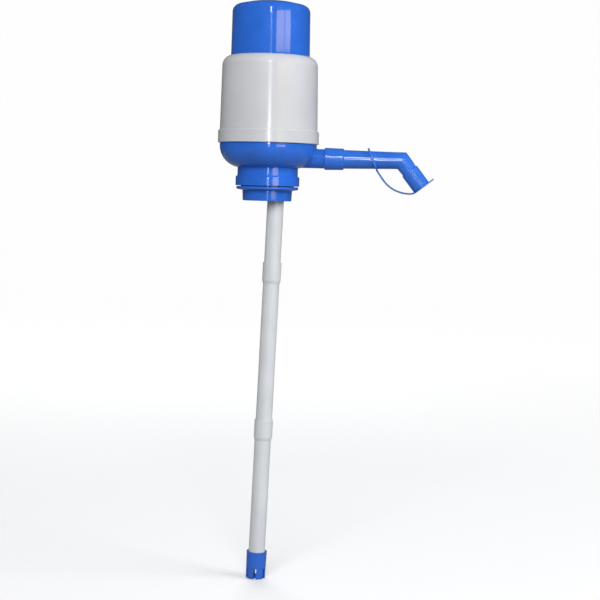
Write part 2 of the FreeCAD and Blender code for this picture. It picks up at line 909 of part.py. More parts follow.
def build_spout():
    """One moulding: coupling, drafted tube, mitred elbow and the nozzle with its sleeve."""
    elbow = (size.elbow_place, size.duct_height, 0, 0)
    bore = size.journal_radius + size.running_gap
    start = size.duct_reach + size.end_gap
    end = size.duct_reach + size.coupling_length
    stop = journal_end + size.end_gap
    bead = size.duct_reach + size.bead_place - size.end_gap
    bead_end = bead + size.bead_width + 2 * size.end_gap
    bead_bore = size.journal_radius + size.bead_rise + size.bead_gap
    over = size.elbow_place + size.elbow_radius
    tube = new_body("spout_tube_half")
    path = [
        (start, bore),
        (start, size.coupling_radius - size.coupling_bevel),
        (start + size.coupling_bevel, size.coupling_radius),
        (end - size.coupling_bevel, size.coupling_radius - size.coupling_draft),
        (end, size.spout_root_radius),
        (size.elbow_place - size.elbow_straight, size.elbow_radius),
        (over, size.elbow_radius),
        (over, size.spout_bore),
        (stop, size.spout_bore),
        (stop, bore),
        (bead_end, bore),
        (bead_end, bead_bore),
        (bead, bead_bore),
        (bead, bore),
    ]
    turned(tube, outline(tube, "profile", path, offset=(0, size.duct_height, 0, 0)), "H_Axis")
    wedge = outline(tube, "mitre", mitre_wedge(1), offset=elbow)
    pierced(tube, wedge, size.mitre_reach * 2, midplane=True)

    nozzle = new_body("spout_nozzle_half")
    sleeve = size.sleeve_place
    path = [
        (-size.elbow_radius, size.spout_bore),
        (-size.elbow_radius, size.elbow_radius),
        (size.nozzle_level, size.elbow_radius),
        (sleeve, size.nozzle_radius),
        (sleeve + size.sleeve_bevel, size.sleeve_radius),
        (size.nozzle_length - size.sleeve_bevel, size.sleeve_radius),
        (size.nozzle_length, size.sleeve_radius - size.sleeve_bevel),
        (size.nozzle_length, size.spout_bore),
    ]
    fall = (size.elbow_place, size.duct_height, 0, size.nozzle_fall)
    turned(nozzle, outline(nozzle, "profile", path, offset=fall), "H_Axis")
    wedge = outline(nozzle, "mitre", mitre_wedge(-1), offset=elbow)
    pierced(nozzle, wedge, size.mitre_reach * 2, midplane=True)

    spout = doc.addObject("Part::Fuse", "spout")
    spout.Label = "spout"
    spout.Base = tube
    spout.Tool = nozzle
    spout.Refine = True
    return spout


def build_cap_ring():
    """The loose ring that keeps the cap on the spout's tube, hanging aslant."""
    half = size.cap_thickness / 2
    body = turned_piece("cap_ring", [
        (size.cap_ring_bore, -half),
        (size.cap_ring_radius, -half),
        (size.cap_ring_radius, half),
        (size.cap_ring_bore, half),
    ])
    place(body, size.cap_ring_place, size.duct_height, 90 - size.cap_ring_tilt)
    return body


def nozzle_point(along, across):
    """A point in the spout's plane, along the nozzle from the elbow and across it, downwards."""
    x = size.elbow_place + along * cosine(size.nozzle_fall) - across * sine(size.nozzle_fall)
    z = size.duct_height - along * sine(size.nozzle_fall) - across * cosine(size.nozzle_fall)
    return x, z


def build_strap():
    """The cap's strap: straight from the ring, then one arc round to the lid's edge."""
    ring_x = size.cap_ring_place + size.cap_ring_radius * sine(size.cap_ring_tilt)
    ring_z = size.duct_height - size.cap_ring_radius * cosine(size.cap_ring_tilt)
    down_x, down_z = cosine(size.strap_fall), -sine(size.strap_fall)
    in_x, in_z = sine(size.strap_fall), cosine(size.strap_fall)
    half = size.cap_thickness / 2
    lid_x, lid_z = nozzle_point(size.nozzle_length + half, size.sleeve_radius + size.strap_gap)
    bend_x = ring_x + size.strap_run * down_x
    bend_z = ring_z + size.strap_run * down_z
    to_x, to_z = lid_x - bend_x, lid_z - bend_z
    rise = to_x * in_x + to_z * in_z
    radius = (to_x * to_x + to_z * to_z) / (2 * rise)
    centre_x = bend_x + radius * in_x
    centre_z = bend_z + radius * in_z
    inner = (radius - half) / radius
    outer = (radius + half) / radius
    back_x, back_z = size.cap_thickness * down_x, size.cap_thickness * down_z

    def about(x, z, share):
        return centre_x + (x - centre_x) * share, centre_z + (z - centre_z) * share

    def aside(x, z, sign):
        return x + half * sign * in_x, z + half * sign * in_z

    strip = new_body("cap_strap_strip")
    path = [
        aside(ring_x - back_x, ring_z - back_z, 1),
        aside(ring_x - back_x, ring_z - back_z, -1),
        aside(bend_x, bend_z, -1),
        (*about(lid_x, lid_z, outer), centre_x, centre_z),
        about(lid_x, lid_z, inner),
        (*aside(bend_x, bend_z, 1), centre_x, centre_z),
    ]
    padded(strip, outline(strip, "profile", path), size.strap_width, midplane=True)
    ring = doc.addObject("Part::Cylinder", "cap_strap_ring_space")
    bind(ring, "Radius", size.cap_ring_radius)
    bind(ring, "Height", size.strap_root_space * 2)
    tilt = 90 - size.cap_ring_tilt
    start_x = size.cap_ring_place - size.strap_root_space * sine(tilt)
    start_z = size.duct_height - size.strap_root_space * cosine(tilt)
    place(ring, start_x, start_z, tilt)
    strap = doc.addObject("Part::Cut", "cap_strap")
    strap.Label = "cap_strap"
    strap.Base = strip
    strap.Tool = ring
    return strap


def build_spout_cap():
    """The lid over the nozzle with its hollow plug and the tab that lifts it off."""
    plug = size.spout_bore - size.plug_gap
    plug_inner = plug - size.plug_wall
    body = turned_piece("spout_cap", [
        (0, 0),
        (plug_inner, 0),
        (plug_inner, -size.plug_length),
        (plug, -size.plug_length),
        (plug, 0),
        (size.sleeve_radius, 0),
        (size.sleeve_radius, size.cap_thickness),
        (0, size.cap_thickness),
    ])
    half = size.strap_width / 2
    end = -size.sleeve_radius - size.tab_reach
    shoulder = half - size.tab_round
    path = [
        (-size.spout_bore, -half),
        (-size.spout_bore, half),
        (end + size.tab_round, half),
        (end, shoulder, end + size.tab_round, shoulder),
        (end, -shoulder),
        (end + size.tab_round, -half, end + size.tab_round, -shoulder),
    ]
    tab = outline(body, "tab", path, plane="XY_Plane")
    padded(body, tab, size.cap_thickness)
    end_x, end_z = nozzle_point(size.nozzle_length, 0)
    place(body, end_x, end_z, 90 + size.nozzle_fall)
    return body


def hang(body):
    """Puts a piece of the dip tube on the riser's axis, with its own zero at the base's floor."""
    place(body, size.riser_offset, size.floor_underside, size.riser_lean)


def build_socketed_tube(label, mouth, length):
    """A length of tube whose upper end is widened to a socket for the length above it."""
    socket = size.tube_radius + size.tube_socket_gap
    shoulder = mouth - size.tube_socket_depth
    cone = shoulder - size.tube_socket_cone
    body = turned_piece(label, [
        (socket, mouth),
        (socket, shoulder),
        (size.tube_bore, shoulder),
        (size.tube_bore, mouth - length),
        (size.tube_radius, mouth - length),
        (size.tube_radius, cone),
        (size.tube_socket_radius, shoulder),
        (size.tube_socket_radius, mouth),
    ])
    hang(body)


def build_dip_tube():
    """Three lengths of tube, each pushed into the next, and the foot that keeps grit out."""
    top = -size.tube_top_gap
    upper = turned_piece("dip_tube_upper", [
        (size.tube_bore, top),
        (size.tube_bore, top - size.upper_length),
        (size.tube_radius, top - size.upper_length),
        (size.tube_radius, top),
    ])
    hang(upper)
    middle_mouth = top - size.upper_length + size.tube_socket_depth
    build_socketed_tube("dip_tube_middle", middle_mouth, size.middle_length)
    lower_mouth = middle_mouth - size.middle_length + size.tube_socket_depth
    build_socketed_tube("dip_tube_lower", lower_mouth, size.lower_length)
    build_strainer(lower_mouth - size.lower_length)


def build_strainer(tube_end):
    """The foot: a cup pushed over the tube's end, open through slots round its lower half."""
    bore = size.tube_radius + size.tube_socket_gap
    top = tube_end + size.strainer_overlap
    foot = top - size.strainer_length
    body = turned_piece("inlet_strainer", [
        (bore, top),
        (bore, tube_end),
        (size.tube_bore, tube_end),
        (size.tube_bore, foot + size.strainer_floor),
        (0, foot + size.strainer_floor),
        (0, foot),
        (size.strainer_radius - size.strainer_draft, foot),
        (size.strainer_radius, top),
    ])
    half = size.strainer_slot_width / 2
    path = [
        (-half, foot - size.cut_over),
        (half, foot - size.cut_over),
        (half, foot + size.strainer_slot_height),
        (-half, foot + size.strainer_slot_height),
    ]
    slot = outline(body, "slot", path, offset=(0, 0, size.strainer_slot_start, 0))
    cut = pierced(body, slot, size.strainer_radius, reverse=True)
    repeated(body, cut, (origin_part(body, "Z_Axis"), [""]), size.strainer_slot_count)
    hang(body)


NODES = [
    "base_bowl", "outer_casing", "bellows_clamp_ring", "bellows", "spring_plate", "return_spring",
    "plunger_plate", "button", "intake_valve", "delivery_valve", "socket_gasket", "neck_adapter",
    "adapter_gasket", "spout_seal", "spout", "cap_ring", "cap_strap", "spout_cap",
    "dip_tube_upper", "dip_tube_middle", "dip_tube_lower", "inlet_strainer",
]


def build_all():
    """Builds every piece of the pump."""
    build_base()
    build_casing()
    build_clamp_ring()
    build_bellows()
    build_spring_plate()
    build_spring()
    build_plunger_plate()
    build_button()
    intake = (0, size.plunger_seat, size.plunger_thickness, size.intake_disc, size.intake_stem)
    build_valve("intake_valve", *intake)
    delivery = (size.floor_underside, size.floor_thickness, size.delivery_disc, size.delivery_stem)
    build_valve("delivery_valve", -size.delivery_offset, *delivery)
    build_washers()
    build_adapter()
    build_seal()
    build_spout()
    build_cap_ring()
    build_strap()
    build_spout_cap()
    build_dip_tube()


def check_and_write():
    """Stops on a failed object or a shape that isn't whole, then writes each piece."""
    for thing in doc.Objects:
        if "Invalid" in thing.State or "Error" in thing.State:
            raise RuntimeError(thing.Label + " failed: " + str(thing.State))
    os.makedirs("parts", exist_ok=True)
    for label in NODES:
        shape = doc.getObjectsByLabel(label)[0].Shape
        if shape.isNull() or not shape.isValid() or not shape.Solids:
            raise RuntimeError(label + " has no valid solid")
        box = shape.BoundBox
        print(f"{label:20s} solids {len(shape.Solids)}  volume {shape.Volume:10.1f}  "
              f"z {box.ZMin:8.2f} to {box.ZMax:8.2f}  x {box.XMin:8.2f} to {box.XMax:8.2f}")
        shape.exportStep("parts/" + label + ".step")


build_all()
doc.recompute()
check_and_write()
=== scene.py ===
# %% [markdown]
# # A hand pump for a water jug
#
# The pump has a button in a pale barrel, a blue bowl below it with a spout to one side, an adapter
# for the bottle's neck, and a dip tube. The barrel, the bowl, the spout and the tubes are hard
# mouldings, and their solids already have the right shape, so they only get a finish here. Made
# anew are the domed button, the threaded adapter, the soft pieces, the spring and the cap.

# %% Load the solids
import math
import bmesh
import bpy
import numpy as np
from mathutils import Matrix, Vector


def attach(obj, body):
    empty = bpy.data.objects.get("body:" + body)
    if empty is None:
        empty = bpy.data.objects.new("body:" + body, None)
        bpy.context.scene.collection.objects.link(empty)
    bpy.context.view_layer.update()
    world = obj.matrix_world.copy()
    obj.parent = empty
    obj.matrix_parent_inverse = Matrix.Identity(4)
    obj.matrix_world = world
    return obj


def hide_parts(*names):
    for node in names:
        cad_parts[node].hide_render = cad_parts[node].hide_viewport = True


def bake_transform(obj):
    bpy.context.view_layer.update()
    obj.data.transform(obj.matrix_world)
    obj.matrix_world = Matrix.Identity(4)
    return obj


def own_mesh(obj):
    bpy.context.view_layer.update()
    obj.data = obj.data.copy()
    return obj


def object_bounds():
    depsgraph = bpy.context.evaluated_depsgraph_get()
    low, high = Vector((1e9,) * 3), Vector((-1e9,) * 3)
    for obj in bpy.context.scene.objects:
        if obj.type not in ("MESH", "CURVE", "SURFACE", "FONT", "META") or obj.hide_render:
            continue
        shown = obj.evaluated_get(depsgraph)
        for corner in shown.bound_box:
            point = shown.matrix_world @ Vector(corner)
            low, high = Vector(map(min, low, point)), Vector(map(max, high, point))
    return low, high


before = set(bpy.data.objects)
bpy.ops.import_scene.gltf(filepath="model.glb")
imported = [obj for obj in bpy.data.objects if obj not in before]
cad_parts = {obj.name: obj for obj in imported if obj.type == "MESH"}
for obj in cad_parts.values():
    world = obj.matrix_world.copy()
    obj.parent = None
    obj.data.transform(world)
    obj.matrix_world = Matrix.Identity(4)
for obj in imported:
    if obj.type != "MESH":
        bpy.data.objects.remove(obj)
solid_box = [list(corner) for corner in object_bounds()]
MM = 0.001
print("lowest point, mm:", round(solid_box[0][2] / MM, 1))

# %% [markdown]
# ## Surfaces from arrays
#
# Nearly every soft piece of a pump is round: a washer, a valve, a pleat. Such a shape is a closed
# outline turned about an axis, which is a function of two parameters. It could be spun with an
# operator, but an array gives the same rings at once and can be bent afterwards, for a thread or a
# tab. All sizes are in millimetres until the mesh is filled.

# %% Fill a mesh from a grid of points
WELD, SLIVER = 0.005, 0.001
SIDE_SHARE = 0.45


def grid_faces(rows, columns, close_rows, close_columns):
    """Quads of a grid of points. Row r and column c give point r * columns + c, and a closed
    direction wraps round to its first row or column."""
    r = np.arange(rows if close_rows else rows - 1)[:, None]
    c = np.arange(columns if close_columns else columns - 1)[None, :]
    across, down = (c + 1) % columns, (r + 1) % rows
    corners = [r * columns + c, r * columns + across, down * columns + across, down * columns + c]
    return np.stack(np.broadcast_arrays(*corners), axis=-1).reshape(-1, 4)


def make_piece(name, points, faces):
    """A smooth-shaded object at the origin from points in millimetres and rows of four corners."""
    mesh = bpy.data.meshes.new(name)
    mesh.vertices.add(len(points))
    mesh.vertices.foreach_set("co", (np.asarray(points, float) * MM).astype(np.float32).ravel())
    mesh.loops.add(faces.size)
    mesh.loops.foreach_set("vertex_index", faces.astype(np.int32).ravel())
    mesh.polygons.add(len(faces))
    mesh.polygons.foreach_set("loop_start", np.arange(0, faces.size, 4, dtype=np.int32))
    mesh.polygons.foreach_set("use_smooth", np.ones(len(faces), bool))
    mesh.update(calc_edges=True)
    mesh.validate()
    piece = bpy.data.objects.new(name, mesh)
    bpy.context.scene.collection.objects.link(piece)
    print(name, "points", len(points), "faces", len(faces))
    return piece


def close_up(piece):
    """Merges the points where a grid meets itself at a pole or a seam, takes out slivers and edges
    without a face, and turns the faces outwards."""
    work = bmesh.new()
    work.from_mesh(piece.data)
    bmesh.ops.remove_doubles(work, verts=work.verts, dist=WELD * MM)
    bmesh.ops.dissolve_degenerate(work, edges=work.edges, dist=SLIVER * MM)
    stray = [edge for edge in work.edges if not edge.link_faces]
    bmesh.ops.delete(work, geom=stray, context="EDGES")
    bmesh.ops.recalc_face_normals(work, faces=work.faces)
    open_edges = sum(1 for edge in work.edges if not edge.is_manifold)
    work.to_mesh(piece.data)
    work.free()
    print("   ", piece.name, "open edges", open_edges)
    return piece


def rounded_outline(corners, radius, steps):
    """A closed outline whose corners are rounded. From a point A before a corner C to a point B
    after it runs the curve (1 - t)^2 A + 2 t (1 - t) C + t^2 B, in as many points as steps says.
    A and B are the radius away from the corner, or SIDE_SHARE of a side that is short."""
    corners = np.asarray(corners, float)
    before = np.roll(corners, 1, axis=0) - corners
    after = np.roll(corners, -1, axis=0) - corners
    reach_before = np.linalg.norm(before, axis=1, keepdims=True)
    reach_after = np.linalg.norm(after, axis=1, keepdims=True)
    reach = np.minimum(radius, SIDE_SHARE * np.minimum(reach_before, reach_after))
    start = corners + before / reach_before * reach
    end = corners + after / reach_after * reach
    t = np.linspace(0, 1, steps)[None, :, None]
    arc = (1 - t) ** 2 * start[:, None] + 2 * t * (1 - t) * corners[:, None] + t**2 * end[:, None]
    return arc.reshape(-1, 2)


def lathe(outline, segments):
    """Points of an outline turned about Z: x = r cos a, y = r sin a, z = z, one row per angle."""
    angle = np.linspace(0, 2 * np.pi, segments, endpoint=False)[:, None]
    r, z = np.asarray(outline, float).T
    return np.stack([r * np.cos(angle), r * np.sin(angle), z + 0 * angle], axis=-1)


def turned_piece(name, outline, segments):
    """A closed ring-shaped piece from an outline that goes right round its section."""
    points = lathe(outline, segments)
    faces = grid_faces(segments, points.shape[1], True, True)
    return close_up(make_piece(name, points.reshape(-1, 3), faces))


def settle(piece, body, *nodes, slot=None):
    """Puts a piece on its body, in place of CAD nodes where it stands for them."""
    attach(piece, body)
    if nodes:
        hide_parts(*nodes)


# %% [markdown]
# ## The camera
#
# The camera stands a little over a metre away, level with the bottle's rim, and looks slightly
# down, so the rims of the barrel curve upwards and the foot of the tube sits low in the picture.
# The spout points five degrees towards it. A long lens keeps the upright sides nearly parallel.

# %% Set the camera
CAMERA_AROUND = 5.0
CAMERA_AWAY = 1142.9
CAMERA_HEIGHT = -0.7
CAMERA_YAW = -1.511
CAMERA_PITCH = 4.767
CAMERA_ROLL = 1.501
FOCAL_PIXELS = 1346.3
PICTURE_WIDTH = 600
SENSOR_WIDTH = 36.0


def set_camera():
    """Places the camera by its bearing round the pump's axis and its own yaw, pitch and roll."""
    around = math.radians(CAMERA_AROUND)
    heading = math.radians(CAMERA_AROUND + CAMERA_YAW)
    pitch, roll = math.radians(CAMERA_PITCH), math.radians(CAMERA_ROLL)
    ahead = Vector((-math.sin(heading) * math.cos(pitch), math.cos(heading) * math.cos(pitch),
                    -math.sin(pitch)))
    level = Vector((math.cos(heading), math.sin(heading), 0))
    above = level.cross(ahead)
    right = math.cos(roll) * level + math.sin(roll) * above
    up = right.cross(ahead)
    lens = bpy.data.cameras.new("camera")
    lens.sensor_width = SENSOR_WIDTH
    lens.lens = FOCAL_PIXELS / PICTURE_WIDTH * SENSOR_WIDTH
    lens.clip_start, lens.clip_end = 0.05, 20
    camera = bpy.data.objects.new("camera", lens)
    place = MM * Vector((CAMERA_AWAY * math.sin(around), -CAMERA_AWAY * math.cos(around),
                         CAMERA_HEIGHT))
    turn = Matrix((right, up, -ahead)).transposed().to_4x4()
    camera.matrix_world = Matrix.Translation(place) @ turn
    bpy.context.scene.collection.objects.link(camera)
    bpy.context.scene.camera = camera
    print("lens, mm:", round(lens.lens, 1))


set_camera()

# %% [markdown]
# ## Writing materials as sums
#
# A plastic's colour and roughness are a few noises added together. Wiring those by hand hides what
# they mean, so a small class holds one output socket and lets Python's operators add the Math
# nodes. Then `gloss + 0.22 * marks` reads as it is meant. Any other node comes from one method.

# %% A class for shader sums
class Signal:
    """One output socket of a material, with the operators that are used on it."""

    def __init__(self, recipe, socket):
        self.recipe = recipe
        self.socket = socket

    def math(self, operation, other):
        """A Math node between this signal and a number or another signal."""
        return self.recipe.node("ShaderNodeMath", {"operation": operation}, {0: self, 1: other})

    def __add__(self, other):
        return self.math("ADD", other)

    def __mul__(self, other):
        return self.math("MULTIPLY", other)

    __radd__ = __add__
    __rmul__ = __mul__

    def held(self, low, high):
        """The signal spread so that low becomes 0 and high becomes 1, and held between them."""
        inputs = {0: self, 1: low, 2: high}
        return self.recipe.node("ShaderNodeMapRange", {"clamp": True}, inputs)


class Recipe:
    """A material under construction: its node tree and the ways to add to it."""

    def __init__(self, name):
        self.material = bpy.data.materials.new(name)
        self.material.use_nodes = True
        self.tree = self.material.node_tree
        self.tree.nodes.clear()
        self.place = self.node("ShaderNodeTexCoord", output="Object")

    def node(self, kind, settings=None, inputs=None, output=0):
        """Adds a node: its settings first, then the values or links of its inputs."""
        node = self.tree.nodes.new(kind)
        for key, value in (settings or {}).items():
            setattr(node, key, value)
        for key, value in (inputs or {}).items():
            if isinstance(value, Signal):
                self.tree.links.new(value.socket, node.inputs[key])
            else:
                node.inputs[key].default_value = value
        return Signal(self, node.outputs[output])

    def stretched(self, scale):
        """Object coordinates, squeezed or stretched along X, Y and Z."""
        inputs = {"Vector": self.place, "Scale": scale}
        return self.node("ShaderNodeMapping", {"vector_type": "POINT"}, inputs)

    def noise(self, size, detail=3.0, rough=0.5, vector=None):
        """A noise whose blotches are about size millimetres across."""
        inputs = {"Vector": vector or self.place, "Scale": 1 / (size * MM), "Detail": detail,
                  "Roughness": rough}
        return self.node("ShaderNodeTexNoise", {"noise_dimensions": "3D"}, inputs)

    def blend(self, share, first, second):
        """A colour between two, by a share from 0 to 1. A Mix node has sockets for every kind of
        value, and those for colours are inputs 6 and 7 and output 2."""
        inputs = {0: share, 6: first, 7: second}
        return self.node("ShaderNodeMix", {"data_type": "RGBA"}, inputs, output=2)

    def bump(self, height, depth, strength):
        """A normal from a height signal of 0 to 1 that stands for depth millimetres."""
        inputs = {"Height": height, "Distance": depth * MM, "Strength": strength}
        return self.node("ShaderNodeBump", None, inputs)

    def finish(self, **inputs):
        """Ends the recipe with a Principled shader, whose sockets are named with underscores."""
        named = {key.replace("_", " "): value for key, value in inputs.items()}
        return self.end_with(self.node("ShaderNodeBsdfPrincipled", None, named, output="BSDF"))

    def end_with(self, shader):
        """Links a shader to the material's output."""
        output = self.tree.nodes.new("ShaderNodeOutputMaterial")
        self.tree.links.new(shader.socket, output.inputs["Surface"])
        return self.material


print("recipes ready")

# %% [markdown]
# ## Blue plastic
#
# The button, bowl, spout and adapter are glossy polypropylene. Such plastic isn't quite even: the
# pigment flows in broad clouds, the skin has a faint ripple from the cooling mould, and handling
# leaves fine marks that dull the gloss in patches. Clouds and ripple are a noise each, and the
# marks are a fine noise that shows only where a broad one is high.

# %% Mix the blue plastic
PLASTIC_IOR = 1.49
SKIN_DEPTH = 0.002
PALE_MARK = (0.30, 0.42, 0.80, 1)


def shade_of(colour, share):
    """A darker or lighter shade of a colour, held at full light, with an alpha of 1."""
    return tuple(min(share * channel, 1) for channel in colour) + (1,)


def blue_plastic(name, colour, gloss, ripple=1.0):
    """Blue moulded plastic. Colour is the pigment, gloss the roughness of clean plastic."""
    recipe = Recipe(name)
    clouds = recipe.noise(38, detail=3, rough=0.55)
    grain = recipe.noise(1.1, detail=2, rough=0.5)
    ripples = recipe.noise(9, detail=1, rough=0.4)
    rubbed = recipe.noise(1.6, detail=5, rough=0.62, vector=recipe.stretched((0.4, 1.0, 1.9)))
    marks = rubbed.held(0.63, 0.80) * recipe.noise(24, detail=2).held(0.48, 0.66)
    body = recipe.blend(clouds.held(0.30, 0.70), shade_of(colour, 0.86), shade_of(colour, 1.12))
    body = recipe.blend(marks * 0.16, body, PALE_MARK)
    roughness = gloss + 0.03 * clouds.held(0.35, 0.75) + 0.22 * marks + 0.02 * grain
    normal = recipe.bump(ripples, depth=0.02 * ripple, strength=0.35)
    return recipe.finish(Base_Color=body, Roughness=roughness, Normal=normal, IOR=PLASTIC_IOR,
                         Subsurface_Weight=0.04, Subsurface_Radius=(0.3, 0.5, 1.0),
                         Subsurface_Scale=SKIN_DEPTH)


BLUE = (0.026, 0.147, 0.650)
button_blue = blue_plastic("button_blue", BLUE, gloss=0.06, ripple=0.6)
base_blue = blue_plastic("base_blue", BLUE, gloss=0.08)
spout_blue = blue_plastic("spout_blue", (0.031, 0.160, 0.665), gloss=0.11, ripple=0.2)
adapter_blue = blue_plastic("adapter_blue", (0.027, 0.140, 0.610), gloss=0.09)
cap_blue = blue_plastic("cap_blue", (0.055, 0.200, 0.660), gloss=0.24)
foot_blue = blue_plastic("foot_blue", (0.028, 0.130, 0.570), gloss=0.20)
blues = (button_blue, base_blue, spout_blue, adapter_blue, cap_blue, foot_blue)
print("blue finishes:", ", ".join(material.name for material in blues))

# %% [markdown]
# ## Pale plastic, tube and the rest
#
# The barrel is a pale grey polypropylene with a satin skin, which spreads a highlight into a soft
# stripe. The dip tube is extruded, so fine lines run along it, and it lets a little light in. The
# hidden pieces are white plastic, silicone, rubber and spring steel.

# %% Mix the other finishes
RUBBER_IOR = 1.43
TUBE_DEPTH = 0.003
LINES_PER_METRE = 260
DUST, DRAWN_LINE = (0.42, 0.41, 0.40, 1), (0.58, 0.60, 0.62, 1)
DULL_STEEL, BRIGHT_STEEL = (0.42, 0.42, 0.43, 1), (0.66, 0.66, 0.67, 1)


def pale_plastic(name, colour, satin):
    """Satin moulded plastic with a fine grain and a little dust in broad patches."""
    recipe = Recipe(name)
    clouds = recipe.noise(45, detail=2, rough=0.5)
    grain = recipe.noise(0.55, detail=2, rough=0.6)
    dust = recipe.noise(2.4, detail=6, rough=0.66).held(0.62, 0.85) * clouds.held(0.4, 0.7)
    body = recipe.blend(clouds.held(0.32, 0.68), shade_of(colour, 0.93), shade_of(colour, 1))
    body = recipe.blend(dust * 0.20, body, DUST)
    roughness = satin + 0.04 * clouds.held(0.3, 0.7) + 0.12 * dust
    normal = recipe.bump(grain, depth=0.008, strength=0.5)
    return recipe.finish(Base_Color=body, Roughness=roughness, Normal=normal, IOR=PLASTIC_IOR,
                         Subsurface_Weight=0.10, Subsurface_Radius=(1.0, 0.95, 0.9),
                         Subsurface_Scale=SKIN_DEPTH)


def tube_plastic(name, colour):
    """Extruded tube: a noise stretched a hundred times along the tube gives its drawing lines."""
    recipe = Recipe(name)
    along_tube = recipe.stretched((1, 1, 0.01))
    drawn = recipe.noise(1 / (LINES_PER_METRE * MM), detail=3, rough=0.6, vector=along_tube)
    clouds = recipe.noise(30, detail=2)
    milky = recipe.blend(clouds.held(0.3, 0.7), shade_of(colour, 0.92), shade_of(colour, 1))
    body = recipe.blend(drawn.held(0.45, 0.75) * 0.16, milky, DRAWN_LINE)
    roughness = 0.26 + 0.12 * drawn
    normal = recipe.bump(drawn, depth=0.03, strength=0.5)
    return recipe.finish(Base_Color=body, Roughness=roughness, Normal=normal, IOR=PLASTIC_IOR,
                         Subsurface_Weight=0.25, Subsurface_Radius=(1.0, 1.0, 1.0),
                         Subsurface_Scale=TUBE_DEPTH)


def soft_rubber(name, colour, patch, rough):
    """Silicone or rubber: matt, with a dusty bloom that lightens it in patches of that size."""
    recipe = Recipe(name)
    bloom = recipe.noise(patch, detail=4, rough=0.6)
    pores = recipe.noise(0.4, detail=2, rough=0.5)
    dusty = tuple(0.6 * channel + 0.3 for channel in colour) + (1,)
    body = recipe.blend(bloom.held(0.35, 0.75) * 0.35, shade_of(colour, 1), dusty)
    roughness = rough + 0.15 * bloom
    normal = recipe.bump(pores, depth=0.01, strength=0.4)
    return recipe.finish(Base_Color=body, Roughness=roughness, Normal=normal, IOR=RUBBER_IOR)


def drawn_steel(name):
    """Spring wire: bright metal with fine marks left by the die."""
    recipe = Recipe(name)
    drawn = recipe.noise(0.5, detail=3, rough=0.6)
    body = recipe.blend(drawn, DULL_STEEL, BRIGHT_STEEL)
    roughness = 0.22 + 0.18 * drawn
    normal = recipe.bump(drawn, depth=0.006, strength=0.5)
    return recipe.finish(Base_Color=body, Roughness=roughness, Metallic=1.0, Normal=normal)


casing_pale = pale_plastic("casing_white", (0.640, 0.650, 0.680), satin=0.17)
inner_white = pale_plastic("inner_white", (0.74, 0.74, 0.72), satin=0.40)
tube_milky = tube_plastic("tube_natural", (0.72, 0.745, 0.77))
bellows_milky = soft_rubber("bellows_natural", (0.62, 0.63, 0.61), patch=12, rough=0.38)
silicone = soft_rubber("silicone", (0.62, 0.64, 0.63), patch=5, rough=0.34)
seal_rubber = soft_rubber("seal_rubber", (0.02, 0.02, 0.021), patch=4, rough=0.45)
steel = drawn_steel("spring_steel")
others = (casing_pale, inner_white, tube_milky, bellows_milky, silicone, seal_rubber, steel)
print("other finishes:", ", ".join(material.name for material in others))

# %% [markdown]
# ## Finishes for the solids
#
# The hard mouldings stay as they are. Their meshes are loose triangles with good normals, so only
# the material in their slots changes.

# %% Dress the solids
FINISH_OF = {
    "button": button_blue, "base_bowl": base_blue, "spout": spout_blue,
    "outer_casing": casing_pale, "bellows_clamp_ring": inner_white, "spring_plate": inner_white,
    "plunger_plate": inner_white, "dip_tube_upper": tube_milky, "dip_tube_middle": tube_milky,
    "dip_tube_lower": tube_milky, "inlet_strainer": foot_blue, "spout_seal": seal_rubber,
    "neck_adapter": adapter_blue, "cap_ring": cap_blue, "cap_strap": cap_blue,
    "spout_cap": cap_blue, "bellows": bellows_milky, "return_spring": steel,
    "intake_valve": silicone, "delivery_valve": silicone, "socket_gasket": silicone,
    "adapter_gasket": silicone,
}


def dress(piece, material):
    """Gives a piece one material in all its slots."""
    if not piece.data.materials:
        piece.data.materials.append(material)
    for index in range(len(piece.material_slots)):
        piece.material_slots[index].material = material
    return piece


for node, material in FINISH_OF.items():
    dress(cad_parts[node], material)
print("dressed", len(FINISH_OF), "of", len(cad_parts))

# %% [markdown]
# ## The adapter and its threads
#
# The adapter screws into the pump's band, and the bottle's neck screws into the adapter. A thread
# is a ridge that climbs by its pitch each turn. It could be a separate coil, but here the wall's
# own radius rises where the ridge passes, so wall and thread are one skin. The ridge in the band
# climbs with the same pitch. To stay clear it would have to run half a pitch away from the
# adapter's. It runs only 0.55 mm above it, so inside the band the two still pass through each other.

# %% Make the adapter
PITCH = 4.2
THREAD_ROOT, THREAD_CREST, THREAD_START = 22.55, 23.55, 1.4
MOUTH_WALL, MOUTH_PITCH, MOUTH_RIDGE, MOUTH_START = 18.9, 3.6, 0.9, -9.6
THREAD_FADE = 0.08
SKIRT_FOOT, LIP_FOOT, LIP_TOP, ADAPTER_TOP = -12.5, -3.0, -0.5, 7.2
SKIRT_RADIUS, SKIRT_TOP_RADIUS, LIP_RADIUS, CUP_RADIUS, TOP_RADIUS = 20.6, 21.05, 26.2, 21.2, 22.9
LEDGE_RADIUS, LEDGE_FOOT, LEDGE_TOP = 15.8, 1.5, 3.5
ON_WALL = 0.02


def ridge(height, angle, middle, pitch, base, crest, first, last):
    """How far a thread stands out, from 0 to 1, at a height and an angle. The ridge's middle is at
    middle + pitch * angle / 2 pi for every whole turn; its flanks fall from crest to base width,
    and it fades in and out along the coil between the turns first and last."""
    turn = angle / (2 * np.pi)
    coil = np.round((height - middle) / pitch - turn)
    away = np.abs(height - middle - pitch * (turn + coil))
    flank = np.clip((base / 2 - away) / ((base - crest) / 2), 0, 1)
    along = turn + coil
    fade = (np.clip((along - first) / THREAD_FADE, 0, 1)
            * np.clip((last - along) / THREAD_FADE, 0, 1))
    smooth = flank * flank * (3 - 2 * flank)
    return smooth * fade


